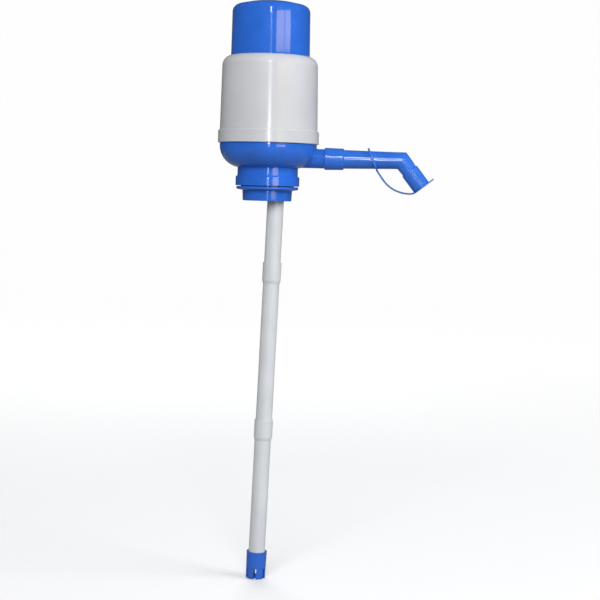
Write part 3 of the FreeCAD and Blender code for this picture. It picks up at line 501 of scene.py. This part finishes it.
def fine(start, end, step):
    """Points from start to end, a step apart or less, without the last one."""
    start, end = np.asarray(start, float), np.asarray(end, float)
    count = max(2, int(np.ceil(np.linalg.norm(end - start) / step)))
    return start + (end - start) * np.linspace(0, 1, count, endpoint=False)[:, None]


def adapter_outline():
    """The adapter's section, once round: its foot, the skirt, the lip, the male wall, the top with
    the cup and the ledge over the mouth, and the mouth's wall down again. The rounded parts are
    cut out of closed outlines. Points lie close on the two threaded walls, and on the skirt, so
    that its shading stays straight."""
    foot = rounded_outline([(MOUTH_WALL, SKIRT_FOOT), (SKIRT_RADIUS, SKIRT_FOOT),
                            (SKIRT_TOP_RADIUS, LIP_FOOT)], 0.55, 5)
    skirt = fine((SKIRT_RADIUS + 0.04, SKIRT_FOOT + 0.8), (SKIRT_TOP_RADIUS - 0.02, LIP_FOOT - 0.4),
                 0.4)
    lip = rounded_outline([(SKIRT_TOP_RADIUS, LIP_FOOT), (LIP_RADIUS, LIP_FOOT),
                           (LIP_RADIUS, LIP_TOP), (THREAD_ROOT, LIP_TOP)], 1.0, 6)
    male = fine((THREAD_ROOT, LIP_TOP), (THREAD_ROOT, ADAPTER_TOP - 0.3), 0.14)
    top = rounded_outline([(TOP_RADIUS, ADAPTER_TOP), (CUP_RADIUS, ADAPTER_TOP),
                           (CUP_RADIUS, LEDGE_TOP), (LEDGE_RADIUS, LEDGE_TOP),
                           (LEDGE_RADIUS, LEDGE_FOOT), (MOUTH_WALL, LEDGE_FOOT)], 0.35, 4)
    mouth = fine((MOUTH_WALL, LEDGE_FOOT - 0.1), (MOUTH_WALL, SKIRT_FOOT + 0.4), 0.16)
    return np.vstack([foot[2:10], skirt, lip[6:18], male, top[:20], mouth])


def make_adapter(segments=224):
    """The adapter: its section turned about Z, with r raised on the male wall and lowered in the
    mouth by each thread's ridge."""
    points = lathe(adapter_outline(), segments)
    angle = np.linspace(0, 2 * np.pi, segments, endpoint=False)[:, None]
    r = np.hypot(points[..., 0], points[..., 1])
    z = points[..., 2]
    male = (np.abs(r - THREAD_ROOT) < ON_WALL) & (z > LIP_TOP + 0.05)
    mouth = (np.abs(r - MOUTH_WALL) < ON_WALL) & (z < LEDGE_FOOT - 0.2)
    outward = ridge(z, angle, THREAD_START, PITCH, base=2.0, crest=0.9, first=0.02, last=1.30)
    inward = ridge(z, angle, MOUTH_START, MOUTH_PITCH, base=1.8, crest=0.7, first=0.02, last=2.0)
    outward *= THREAD_CREST - THREAD_ROOT
    inward *= MOUTH_RIDGE
    longer = (r + male * outward - mouth * inward) / r
    points[..., :2] *= longer[..., None]
    faces = grid_faces(segments, points.shape[1], True, True)
    return close_up(make_piece("adapter_shell", points.reshape(-1, 3), faces))


settle(dress(make_adapter(), adapter_blue), "adapter", "neck_adapter", slot="adapter_blue")

# %% Make the ridge in the band
BAND_BORE = 23.8
BAND_RIDGE_START = THREAD_START + 0.55
BAND_RIDGE_TURNS = 0.9


def coil_of(section, radius, pitch, start, turns, segments):
    """A section carried up a coil: (radius + s, angle, start + pitch * angle / 2 pi + t) for each
    point (s, t) of the section, which shrinks almost to nothing at both ends."""
    angle = np.linspace(0, 2 * np.pi * turns, segments)[:, None]
    share = np.linspace(0, 1, segments)[:, None]
    full = np.clip(np.minimum(share, 1 - share) / THREAD_FADE, 0.02, 1)
    s, t = np.asarray(section, float).T
    r = radius + s * full
    z = start + pitch * angle / (2 * np.pi) + t * full
    return np.stack([r * np.cos(angle), r * np.sin(angle), z], axis=-1)


def capped(name, points):
    """A tube-shaped piece from rows of points, with its two ends drawn together to a point."""
    first = np.broadcast_to(points[0].mean(axis=0), points[0].shape)
    last = np.broadcast_to(points[-1].mean(axis=0), points[-1].shape)
    whole = np.concatenate([first[None], points, last[None]])
    faces = grid_faces(whole.shape[0], whole.shape[1], False, True)
    return close_up(make_piece(name, whole.reshape(-1, 3), faces))


ridge_section = rounded_outline([(0.15, -0.9), (0.15, 0.9), (-1.0, 0.35), (-1.0, -0.35)], 0.3, 4)
band_coil = coil_of(ridge_section, BAND_BORE, PITCH, BAND_RIDGE_START, BAND_RIDGE_TURNS, 160)
band_thread = capped("band_thread", band_coil)
settle(dress(band_thread, base_blue), "base", slot="base_blue")

# %% [markdown]
# ## The button
#
# The button is a deep cup, upside down over the bellows. Its top swells into a low dome, so that
# it sheds water and fits the palm. It could be a cylinder with a bevel, but the dome and the round
# edge are two arcs that have to meet, so the whole section is drawn and turned.

# %% Make the button
BUTTON_FOOT, BUTTON_EDGE, BUTTON_DOME = 98.0, 150.7, 3.6
FOOT_RADIUS, EDGE_RADIUS, BUTTON_WALL = 33.05, 32.55, 2.2
EDGE_ROUND, SKIRT_ROUND = 6.2, 0.4
FLANGE_RADIUS, FLANGE_FOOT, FLANGE_TOP = 35.0, 102.8, 104.8
AIR_SLOT, AIR_SLOT_TOP, AIR_SLOT_INNER = 5.0, 103.0, 25.0
SLOT_SLOPE = 0.05


def dome(radius, height, crown, count):
    """An arc of a circle that rises by crown from the radius to the axis. The circle's own radius
    is (radius^2 + crown^2) / (2 crown)."""
    sphere = (radius**2 + crown**2) / (2 * crown)
    r = np.linspace(radius, 0, count)
    return np.stack([r, height + np.sqrt(sphere**2 - r**2) - (sphere - crown)], axis=-1)


def quarter(centre_r, centre_z, radius, count=12):
    """A quarter circle from outermost to uppermost."""
    a = np.linspace(0, np.pi / 2, count)
    return np.stack([centre_r + radius * np.cos(a), centre_z + radius * np.sin(a)], axis=-1)


def button_outline():
    """The cup's section: up the outside over the flange, round the edge, over the dome to the
    axis, and back down the inside a wall thinner."""
    centre_r, centre_z = EDGE_RADIUS - EDGE_ROUND, BUTTON_EDGE - EDGE_ROUND
    skirt = rounded_outline([
        (FOOT_RADIUS - BUTTON_WALL, BUTTON_FOOT), (FOOT_RADIUS, BUTTON_FOOT),
        (FOOT_RADIUS, FLANGE_FOOT), (FLANGE_RADIUS, FLANGE_FOOT), (FLANGE_RADIUS, FLANGE_TOP),
        (FOOT_RADIUS, FLANGE_TOP)], SKIRT_ROUND, 4)
    wall = fine((FOOT_RADIUS, FLANGE_TOP + 1.5 * SKIRT_ROUND), (EDGE_RADIUS, centre_z), 4.0)
    over = dome(centre_r, BUTTON_EDGE, BUTTON_DOME, 26)
    under = dome(centre_r, BUTTON_EDGE - BUTTON_WALL, BUTTON_DOME, 12)[::-1]
    inside = quarter(centre_r, centre_z, EDGE_ROUND - BUTTON_WALL, 8)[::-1]
    return np.vstack([skirt, wall, quarter(centre_r, centre_z, EDGE_ROUND), over[1:],
                      under[:-1], inside])


def make_button(segments=144):
    """The section turned about Z. Where an air slot is, the foot of the skirt is lifted to the
    slot's top, so the slot is an opening in the rim. The lifted points keep a little of their
    difference in height, so that none of them falls on another."""
    points = lathe(button_outline(), segments)
    x, y, z = np.moveaxis(points, -1, 0)
    across = np.minimum(np.abs(x), np.abs(y))
    slotted = (across < AIR_SLOT / 2) & (np.hypot(x, y) > AIR_SLOT_INNER)
    lifted = AIR_SLOT_TOP + SLOT_SLOPE * (z - BUTTON_FOOT)
    points[..., 2] = np.where(slotted, np.maximum(z, lifted), z)
    faces = grid_faces(segments, points.shape[1], True, True)
    return close_up(make_piece("button_shell", points.reshape(-1, 3), faces))


settle(dress(make_button(), button_blue), "plunger", "button", slot="button_blue")

# %% [markdown]
# ## The bellows and its spring
#
# The button squeezes a blow-moulded bellows against a steel spring. Folds in blown plastic are
# round, so the wall's radius follows a softened zigzag. Both pieces shorten with the button, while
# the lower flange stays where it is.

# %% Make the bellows
BELLOWS_FOOT, BELLOWS_HEAD, STROKE = 36.0, 96.0, 36.0
BELLOWS_LENGTH = BELLOWS_HEAD - BELLOWS_FOOT
FLANGE, FLANGE_ROUND = 1.5, 0.5
FLANGE_MOUTH, FLANGE_BEND, LOWER_FLANGE_RADIUS, UPPER_FLANGE_RADIUS = 28.1, 30.5, 37.35, 33.6
FOLDS, FOLD_POINTS = 6, 24
FOLD_MIDDLE, FOLD_SWING, FOLD_WALL = 32.0, 2.55, 1.4
FOLD_SOFTNESS = 0.96


def bellows_outline():
    """Two softened zigzags a wall apart, joined by flanges. With k for the softness and n folds,
    r = middle + swing * asin(-k cos(2 pi n t)) / asin k."""
    t = np.linspace(0, 1, FOLDS * FOLD_POINTS + 1)
    z = BELLOWS_FOOT + FLANGE + (BELLOWS_LENGTH - 2 * FLANGE) * t
    wave = np.arcsin(FOLD_SOFTNESS * -np.cos(2 * np.pi * FOLDS * t)) / math.asin(FOLD_SOFTNESS)
    outside = FOLD_MIDDLE + FOLD_SWING * wave
    low, high = BELLOWS_FOOT + FLANGE, BELLOWS_HEAD - FLANGE
    lower = rounded_outline([(FLANGE_MOUTH, BELLOWS_FOOT), (LOWER_FLANGE_RADIUS, BELLOWS_FOOT),
                             (LOWER_FLANGE_RADIUS, low), (FLANGE_BEND, low)], FLANGE_ROUND, 4)
    upper = rounded_outline([(FLANGE_BEND, high), (UPPER_FLANGE_RADIUS, high),
                             (UPPER_FLANGE_RADIUS, BELLOWS_HEAD), (FLANGE_MOUTH, BELLOWS_HEAD)],
                            FLANGE_ROUND, 4)
    wall_out = np.stack([outside, z], axis=-1)[1:-1]
    wall_in = np.stack([outside - FOLD_WALL, z], axis=-1)[1:-1][::-1]
    return np.vstack([lower[1:12], wall_out, upper[4:15], wall_in])


bellows = turned_piece("bellows_folds", bellows_outline(), 112)
settle(dress(bellows, bellows_milky), "base", "bellows", slot="bellows_natural")
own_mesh(bellows)

# %% Make the spring
SPRING_RADIUS, WIRE_RADIUS, SPRING_TURNS = 14.0, 0.78, 7.5
END_FLATNESS = 0.55


def spring_points(radius, wire, foot, head, turns, segments, around=14):
    """A round wire along a coil whose ends lie flatter. The centre climbs by the smooth share
    t - k sin(2 pi t) / 2 pi, so it is slow at both ends and quick in the middle."""
    t = np.linspace(0, 1, segments)[:, None]
    climb = t - END_FLATNESS * np.sin(2 * np.pi * t) / (2 * np.pi)
    angle = 2 * np.pi * turns * t
    ring = np.linspace(0, 2 * np.pi, around, endpoint=False)[None, :]
    r = radius + wire * np.cos(ring)
    z = foot + wire + (head - foot - 2 * wire) * climb + wire * np.sin(ring)
    return np.stack([r * np.cos(angle), r * np.sin(angle), z + 0 * r], axis=-1)


spring = capped("spring_coil", spring_points(SPRING_RADIUS, WIRE_RADIUS, BELLOWS_FOOT,
                                             BELLOWS_HEAD, SPRING_TURNS, 520))
settle(dress(spring, steel), "base", "return_spring", slot="spring_steel")
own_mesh(spring)

# %% [markdown]
# ## Valves and washers
#
# A mushroom valve is a thin silicone disc on a stem with a bulb that snaps through its hole. Both
# valves are the same shape in two sizes. The washers are flat rings with a shallow groove in the
# lower face, where the rim below them settles.

# %% Make the valves
DISC_THICK, SEAT_GAP = 0.7, 0.02
SHANK_SPARE = 0.9
BULB_OUT, BULB_HEIGHT = 0.9, 2.3
VALVE_SEGMENTS = 48
BAND_FLOOR = 8.7


def valve_outline(seat, wall, disc, stem):
    """Half section of a valve, from the axis below to the axis above: a disc, crowned below, then
    the shank through the wall with some length to spare, and the bulb."""
    shoulder = seat + wall + SHANK_SPARE
    t = np.linspace(0, 1, 14)
    crown = seat - DISC_THICK - DISC_THICK * np.cos(t * np.pi / 2) ** 1.5
    below = np.stack([disc * t, crown], axis=-1)
    edge = rounded_outline([(disc, seat - DISC_THICK), (disc, seat - SEAT_GAP),
                            (stem, seat - SEAT_GAP)], 0.3, 4)
    up = np.linspace(0, 1, 12)
    bulb = np.stack([stem * (1 - up) + BULB_OUT * np.sin(np.pi * up) ** 0.8,
                     shoulder + 0.1 + BULB_HEIGHT * up], axis=-1)
    shank = np.array([[stem, seat], [stem, shoulder - 0.1]])
    return np.vstack([below[:-1], edge[:8], shank, bulb])


def make_valve(name, across, seat, wall, disc, stem):
    """A valve turned about its own axis and moved to its hole. The ends on the axis are poles."""
    outline = valve_outline(seat, wall, disc, stem)
    outline[0, 0] = outline[-1, 0] = 0.0
    points = lathe(outline, VALVE_SEGMENTS)
    points[..., 0] += across
    faces = grid_faces(VALVE_SEGMENTS, points.shape[1], True, False)
    return close_up(make_piece(name, points.reshape(-1, 3), faces))


intake = make_valve("intake_flap_disc", across=0.0, seat=BELLOWS_HEAD, wall=2.0, disc=8.0, stem=1.4)
settle(dress(intake, silicone), "intake_flap", "intake_valve", slot="silicone")
delivery = make_valve("delivery_flap_disc", across=-9.5, seat=BAND_FLOOR, wall=3.3, disc=5.2,
                      stem=1.2)
settle(dress(delivery, silicone), "delivery_flap", "delivery_valve", slot="silicone")

# %% Make the washers
GROOVE_DEEP, GROOVE_FLOOR, GROOVE_MOUTH = 0.16, 0.3, 0.6
WASHER_ROUND = 0.22


def washer(name, inner, outer, foot, head):
    """A flat ring with rounded edges and a shallow groove halfway across its lower face. The
    groove's floor and mouth are given as half widths."""
    middle, deep = (inner + outer) / 2, foot + GROOVE_DEEP
    return turned_piece(name, rounded_outline([
        (inner, foot), (middle - GROOVE_MOUTH, foot), (middle - GROOVE_FLOOR, deep),
        (middle + GROOVE_FLOOR, deep), (middle + GROOVE_MOUTH, foot), (outer, foot),
        (outer, head), (inner, head)], WASHER_ROUND, 4), 112)


socket_washer = washer("band_washer", 20.0, 23.6, foot=ADAPTER_TOP, head=BAND_FLOOR)
settle(dress(socket_washer, silicone), "washer", "socket_gasket", slot="silicone")
rim_washer = washer("mouth_washer", 16.0, 18.7, foot=0.0, head=LEDGE_FOOT)
settle(dress(rim_washer, silicone), "adapter", "adapter_gasket", slot="silicone")

# %% [markdown]
# ## The cap, its ring and its strap
#
# The cap hangs from the spout by a strap moulded in one with it: a ring that slides on the spout's
# tube, a flat strap and a lid with a plug and a pull tab. Moulded edges are round, so each
# section is a rounded rectangle. The lid's outline is a circle with a tab on it, written as a
# radius for each angle, and the strap is a section carried along a smooth curve.

# %% Turn points into the spout's directions
DUCT_HEIGHT = 24.0
ELBOW = np.array([112.8, 0.0, DUCT_HEIGHT])
NOZZLE_FALL = math.radians(52)
NOZZLE_LENGTH = 27.5


def turned_about_y(points, origin, angle):
    """Points turned about Y, so that their Z leans towards X by the angle, then moved."""
    x, y, z = np.moveaxis(np.asarray(points, float), -1, 0)
    c, s = math.cos(angle), math.sin(angle)
    return np.stack([x * c + z * s, y, z * c - x * s], axis=-1) + origin


nozzle_way = np.array([math.cos(NOZZLE_FALL), 0, -math.sin(NOZZLE_FALL)])
nozzle_end = ELBOW + NOZZLE_LENGTH * nozzle_way
print("nozzle ends at", nozzle_end.round(1))

# %% Make the cap's ring
RING_INNER, RING_OUTER, RING_HALF = 8.6, 10.75, 0.8
RING_PLACE = np.array([88.5, 0.0, DUCT_HEIGHT])
RING_TILT = math.radians(90 - 23)
RING_SEGMENTS = 72

ring_section = rounded_outline([(RING_INNER, -RING_HALF), (RING_OUTER, -RING_HALF),
                                (RING_OUTER, RING_HALF), (RING_INNER, RING_HALF)], 0.5, 5)
ring_points = turned_about_y(lathe(ring_section, RING_SEGMENTS), RING_PLACE, RING_TILT)
cap_ring = close_up(make_piece("cap_loop", ring_points.reshape(-1, 3),
                               grid_faces(RING_SEGMENTS, ring_points.shape[1], True, True)))
settle(dress(cap_ring, cap_blue), "spout_arm", "cap_ring", slot="cap_blue")

# %% Make the lid with its plug and tab
LID_RADIUS, LID_THICK, LID_EDGE = 7.65, 1.2, 0.45
DISH_RADIUS, DISH_DEPTH = 6.2, 0.10
TAB_END, TAB_HALF = 12.4, 3.5
TAB_POWER, MERGE_POWER = 5, 9.0
PLUG_RADIUS, PLUG_TIP, PLUG_LENGTH, HOLLOW_TIP, HOLLOW_RADIUS = 4.95, 4.92, 4.0, 3.75, 3.62
LID_SEGMENTS = 144


def lid_reach(angle):
    """How far the lid reaches at an angle: the circle, or the tab's rounded end towards -X. The
    tab is a superellipse, |x / end|^n + |y / half|^n = 1, and the sum (circle^m + tab^m)^(1/m)
    lets the larger of the two count, with a soft change from one to the other."""
    x, y = np.abs(np.cos(angle)), np.abs(np.sin(angle))
    tab = ((x / TAB_END) ** TAB_POWER + (y / TAB_HALF) ** TAB_POWER) ** (-1 / TAB_POWER)
    tab = np.where(np.cos(angle) < 0, tab, 0)
    return (LID_RADIUS**MERGE_POWER + tab**MERGE_POWER) ** (1 / MERGE_POWER)


def lid_points():
    """The lid, from the middle of its outer face round its edge to the plug's hollow. Each row is
    one angle. A point of the face is (share * reach, z), one of the edge (reach - inset, z) and
    one of the plug (radius, z)."""
    angle = np.linspace(0, 2 * np.pi, LID_SEGMENTS, endpoint=False)[:, None]
    reach = lid_reach(angle)
    top = np.array([0.0, 0.2, 0.4, 0.6, 0.75, 0.85, 0.93]) * reach
    top_z = LID_THICK - DISH_DEPTH * np.clip(1 - (top / DISH_RADIUS) ** 2, 0, 1)
    bend = np.linspace(0, np.pi, 9)
    edge = reach - LID_EDGE + LID_EDGE * np.sin(bend)
    swing = np.sign(np.cos(bend)) * np.abs(np.cos(bend)) ** 0.7
    edge_z = LID_THICK / 2 + LID_THICK / 2 * swing + 0 * reach
    under = np.array([0.93, 0.8]) * reach
    plug = rounded_outline([(PLUG_RADIUS, 0.0), (PLUG_TIP, -PLUG_LENGTH),
                            (HOLLOW_TIP, -PLUG_LENGTH), (HOLLOW_RADIUS, 0.0), (0.0, 0.0)], 0.4, 4)
    plug_r, plug_z = plug[:16].T[:, None, :] + 0 * angle
    r = np.concatenate([top, edge, under, plug_r, 0 * angle], axis=1)
    z = np.concatenate([top_z, edge_z, 0 * under, plug_z, 0 * angle], axis=1)
    return np.stack([r * np.cos(angle), r * np.sin(angle), z], axis=-1)


lid_mesh = turned_about_y(lid_points(), nozzle_end, math.radians(90) + NOZZLE_FALL)
lid = close_up(make_piece("cap_lid", lid_mesh.reshape(-1, 3),
                          grid_faces(LID_SEGMENTS, lid_mesh.shape[1], True, False)))
settle(dress(lid, cap_blue), "cap", "spout_cap", slot="cap_blue")

# %% Make the strap
STRAP_WAY = [(92.2, 15.1), (93.5, 13.1), (96.3, 9.2), (99.5, 5.2), (103.4, 1.7), (108.0, -1.0),
             (113.5, -2.8), (118.6, -3.5), (122.2, -3.3), (124.7, -2.3)]
STRAP_HALF_WIDTH, STRAP_HALF_THICK = 3.3, 0.75
END_WIDER, END_THICKER, END_SHARE = 0.2, 0.05, 0.10


def smooth_way(corners, count):
    """A Catmull-Rom curve through the corners: each stretch is the cubic whose slope at a corner
    is half the step between that corner's neighbours. Both ends get one more corner, straight on."""
    p = np.asarray(corners, float)
    p = np.vstack([2 * p[0] - p[1], p, 2 * p[-1] - p[-2]])
    u = np.linspace(0, len(corners) - 1 - 1e-9, count)
    i = u.astype(int)
    t = (u - i)[:, None]
    a, b, c, d = p[i], p[i + 1], p[i + 2], p[i + 3]
    return 0.5 * (2 * b + (c - a) * t + (2 * a - 5 * b + 4 * c - d) * t**2
                  + (3 * b - a - 3 * c + d) * t**3)


def strap_points(count=90):
    """The strap: at each point of its way, a rounded rectangle across it, a little wider and
    thicker where it meets the ring and the lid."""
    way = smooth_way(STRAP_WAY, count)
    slope = np.gradient(way, axis=0)
    slope /= np.linalg.norm(slope, axis=1, keepdims=True)
    normal = np.stack([-slope[:, 1], slope[:, 0]], axis=-1)
    share = np.linspace(0, 1, count)
    ends = np.clip(1 - np.minimum(share, 1 - share) / END_SHARE, 0, 1) ** 2
    half_width = STRAP_HALF_WIDTH + END_WIDER * ends
    half_thick = STRAP_HALF_THICK + END_THICKER * ends
    section = rounded_outline([(-1, -1), (1, -1), (1, 1), (-1, 1)], 1.0, 5)
    y = section[:, 0][None, :] * half_width[:, None]
    off = section[:, 1][None, :] * half_thick[:, None]
    x = way[:, :1] + off * normal[:, :1]
    z = way[:, 1:] + off * normal[:, 1:]
    return np.stack([x, y, z], axis=-1)


strap = dress(capped("cap_tether", strap_points()), cap_blue)
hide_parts("cap_strap")
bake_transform(strap)

# %% [markdown]
# ## The fillet where the duct leaves the bowl
#
# A moulded duct never leaves a wall at a knife edge: the mould is rounded there, and light runs
# round the curve. For each angle round the duct, the skin starts on the bowl, a little away from
# the duct, and ends on the duct, a little away from the bowl, along a quadratic curve that leans
# into the corner between them.

# %% Make the duct's fillet
BOWL_CENTRE_R, BOWL_CENTRE_Z, BOWL_ROUND = 22.5, 33.5, 18.4
DUCT_RADIUS = 8.1
FILLET_SIZE, FILLET_END = 1.1, math.radians(138)
FILLET_LEAST, FILLET_GROWTH = 0.02, 0.55
INTO_BOWL, INTO_DUCT = 0.4, 0.06


def on_bowl(away, angle):
    """The point on the bowl's skin at a distance from the duct's axis and an angle round it from
    straight up: y and z follow from those, and x = sqrt(r(z)^2 - y^2). The bowl's own radius r(z)
    follows a quarter circle below BOWL_CENTRE_Z and is even above it."""
    y = away * np.sin(angle)
    z = DUCT_HEIGHT + away * np.cos(angle)
    drop = np.clip(BOWL_CENTRE_Z - z, 0, BOWL_ROUND)
    r = BOWL_CENTRE_R + np.sqrt(BOWL_ROUND**2 - drop**2)
    return np.stack([np.sqrt(r * r - y * y), y, z], axis=-1)


def fillet_points(count=120, steps=9):
    """Rows round the duct, up to FILLET_END to both sides of straight up, where the fillet dies
    away. Each row runs over the curve and back through the plastic."""
    angle = np.linspace(-FILLET_END, FILLET_END, count)
    grown = np.clip((np.cos(angle) - math.cos(FILLET_END)) / FILLET_GROWTH, 0, 1) ** 0.5
    reach = FILLET_SIZE * grown + FILLET_LEAST
    corner = on_bowl(DUCT_RADIUS + 0 * angle, angle)
    start = on_bowl(DUCT_RADIUS + reach, angle)
    finish = corner + np.stack([reach, 0 * reach, 0 * reach], axis=-1)
    t = np.linspace(0, 1, steps)[None, :, None]
    arc = ((1 - t) ** 2 * start[:, None] + 2 * t * (1 - t) * corner[:, None]
           + t**2 * finish[:, None])
    inside = corner - np.stack([INTO_BOWL + 0 * reach, INTO_DUCT * corner[:, 1],
                                INTO_DUCT * (corner[:, 2] - DUCT_HEIGHT)], axis=-1)
    return np.concatenate([arc, inside[:, None]], axis=1)


fillet = capped("duct_fillet", fillet_points())
settle(dress(fillet, base_blue), "base", slot="base_blue")

# %% [markdown]
# ## Floor, backdrop and light
#
# The pump stands on the foot of its tube on a plain pale floor. Seen by the camera, floor and
# backdrop are close to white and keep a soft shadow. Reflections see a dim room instead, because
# a bright one would wash the deep blue out at its edges. Three big lamps give the light: one in
# front and above, one to the right and one behind. The gloss shows other things: a warm window in
# front and to the right, in two panes with a low and a high part, and narrow lamps by the camera
# that draw the thin bright lines. Light and reflections could come from the same lamps, but apart
# they can be set one by one.

# %% Make the floor and the backdrop
FLOOR = solid_box[0][2]
FLOOR_GAP = 0.05
PAPER_PALE, PAPER_DUSTY = 0.89, 0.86
PAPER_GREY, PAPER_GLOW = 0.29, 0.12
WHITE_FROM, WHITE_BEYOND, WHITE_SHARE = 0.5, 1.6, 0.98
FRONT_EDGE, BACK_EDGE, SIDE_EDGE, BACK_HEIGHT = -2600.0, 2600.0, 4200.0, 4200.0
BACK_BEND = 900.0


def grey(level):
    """A grey of one level, as a colour."""
    return (level, level, level, 1)


def stage_material():
    """Matt pale paper. Near the pump the camera sees the light that falls on it with a faint glow
    added, so the shadow stays, and further away it turns to plain white. Other rays see it grey,
    so little light comes back from below."""
    recipe = Recipe("stage_paper")
    speckle = recipe.noise(3.0, detail=3, rough=0.6)
    pale = recipe.blend(speckle, grey(PAPER_DUSTY), grey(PAPER_PALE))
    seen = recipe.node("ShaderNodeLightPath", None, None, output="Is Camera Ray")
    paint = recipe.blend(seen, grey(PAPER_GREY), pale)
    matt = recipe.node("ShaderNodeBsdfDiffuse", None, {"Color": paint})
    glow = recipe.node("ShaderNodeEmission", None, {"Color": grey(PAPER_GLOW)})
    lifted = recipe.node("ShaderNodeAddShader", None, {0: matt, 1: glow})
    near = recipe.node("ShaderNodeMixShader", None, {0: seen, 1: matt, 2: lifted})
    white = recipe.node("ShaderNodeEmission", None, {"Color": grey(1.0)})
    away = recipe.node("ShaderNodeVectorMath", {"operation": "LENGTH"}, {0: recipe.place}, output=1)
    share = seen * away.held(WHITE_FROM, WHITE_BEYOND) * WHITE_SHARE
    return recipe.end_with(recipe.node("ShaderNodeMixShader", None, {0: share, 1: near, 2: white}))


def make_backdrop():
    """A sheet of paper that lies on the floor and bends up far behind, as one profile pushed
    sideways: straight, a quarter circle, straight."""
    turn = np.linspace(0, np.pi / 2, 24)
    bend = np.stack([BACK_EDGE + BACK_BEND * np.sin(turn), BACK_BEND - BACK_BEND * np.cos(turn)],
                    axis=-1)
    profile = np.vstack([[[FRONT_EDGE, 0.0]], bend, [[BACK_EDGE + BACK_BEND, BACK_HEIGHT]]])
    across = np.linspace(-SIDE_EDGE, SIDE_EDGE, 9)[:, None]
    floor_mm = FLOOR / MM - FLOOR_GAP
    points = np.stack([across + 0 * profile[:, 0], profile[:, 0] + 0 * across,
                       profile[:, 1] + floor_mm + 0 * across], axis=-1)
    faces = grid_faces(9, profile.shape[0], False, False)
    return make_piece("stage_backdrop", points.reshape(-1, 3), faces)


dress(make_backdrop(), stage_material())

# %% Set the lights
FACED_HEIGHT = 0.03
WINDOW_AWAY, LAMP_AWAY = 1.5, 1.25
WINDOW_TINT = (1.0, 0.79, 0.40)
SKY_TINT = (0.86, 0.93, 1.0, 1)


def soft_box(name, bearing, low, high, away, width, brightness, colour=(1, 1, 1), mirrored=False):
    """A rectangular lamp that faces the pump's axis. Bearing is in degrees to the right of the
    camera, as seen from the pump, and low and high are the heights of its edges in metres. It
    either lights the pump or is only mirrored in it. A brightness of 1 takes 4 x area watts."""
    around = math.radians(CAMERA_AROUND + bearing)
    lamp = bpy.data.lights.new(name, "AREA")
    lamp.shape = "RECTANGLE"
    lamp.size, lamp.size_y = width, high - low
    lamp.energy = 4 * brightness * lamp.size * lamp.size_y
    lamp.color = colour
    box = bpy.data.objects.new(name, lamp)
    box.location = (away * math.sin(around), -away * math.cos(around), (low + high) / 2)
    height_faced = box.location.z if mirrored else FACED_HEIGHT
    towards = Vector((0, 0, height_faced)) - box.location
    box.rotation_euler = towards.to_track_quat("-Z", "Y").to_euler()
    box.visible_camera = False
    box.visible_diffuse = not mirrored
    box.visible_glossy = mirrored
    bpy.context.scene.collection.objects.link(box)


soft_box("room_front", -8, 0.30, 1.50, 1.9, 1.5, 5.0, (1.0, 0.99, 0.98))
soft_box("room_right", 72, 0.1, 1.3, 1.9, 1.3, 3.7, (0.99, 0.99, 1.0))
soft_box("room_back", 187, 0.30, 1.50, 1.9, 1.6, 3.2)
for name, bearing, low, high, width, brightness in (
        ("window_pane_near", 27.2, 0.29, 0.42, 0.62, 4.9),
        ("window_pane_far", 49.3, 0.29, 0.42, 0.46, 4.9),
        ("window_low", 29.0, -0.15, 0.05, 0.56, 5.2),
        ("window_high", 27.2, 0.52, 0.66, 0.16, 6.0)):
    soft_box(name, bearing, low, high, WINDOW_AWAY, width, brightness, WINDOW_TINT, mirrored=True)
for name, bearing, low, high, width, brightness in (
        ("lamp_at_neck", 1.2, -0.14, 0.05, 0.035, 18),
        ("lamp_at_bowl", 1.2, 0.07, 0.095, 0.06, 30),
        ("lamp_at_collar", 1.2, 0.095, 0.125, 0.06, 62),
        ("lamp_at_barrel", 1.2, 0.125, 0.155, 0.05, 56),
        ("lamp_above", 1.2, 0.155, 0.20, 0.03, 25),
        ("lamp_at_button", 1.2, 0.21, 0.34, 0.03, 5),
        ("lamp_at_spout", -0.8, 0.34, 0.72, 0.09, 15)):
    soft_box(name, bearing, low, high, LAMP_AWAY, width, brightness, mirrored=True)


def set_world(level, mirrored_level):
    """An even pale sky that lights softly, is dim in reflections, and white to the camera."""
    world = bpy.data.worlds.new("sky")
    bpy.context.scene.world = world
    world.use_nodes = True
    tree = world.node_tree
    tree.nodes.clear()
    path = tree.nodes.new("ShaderNodeLightPath")
    shader = None
    for strength, ray in ((level, None), (mirrored_level, "Is Glossy Ray"), (1.0, "Is Camera Ray")):
        sky = tree.nodes.new("ShaderNodeBackground")
        sky.inputs["Color"].default_value = (1, 1, 1, 1) if ray == "Is Camera Ray" else SKY_TINT
        sky.inputs["Strength"].default_value = strength
        if shader:
            mix = tree.nodes.new("ShaderNodeMixShader")
            tree.links.new(path.outputs[ray], mix.inputs[0])
            tree.links.new(shader.outputs[0], mix.inputs[1])
            tree.links.new(sky.outputs[0], mix.inputs[2])
            shader = mix
        else:
            shader = sky
    output = tree.nodes.new("ShaderNodeOutputWorld")
    tree.links.new(shader.outputs[0], output.inputs[0])


set_world(level=0.225, mirrored_level=0.07)
bpy.context.scene.view_settings.view_transform = "Standard"
print("stage set, floor at mm:", round(FLOOR / MM, 1))
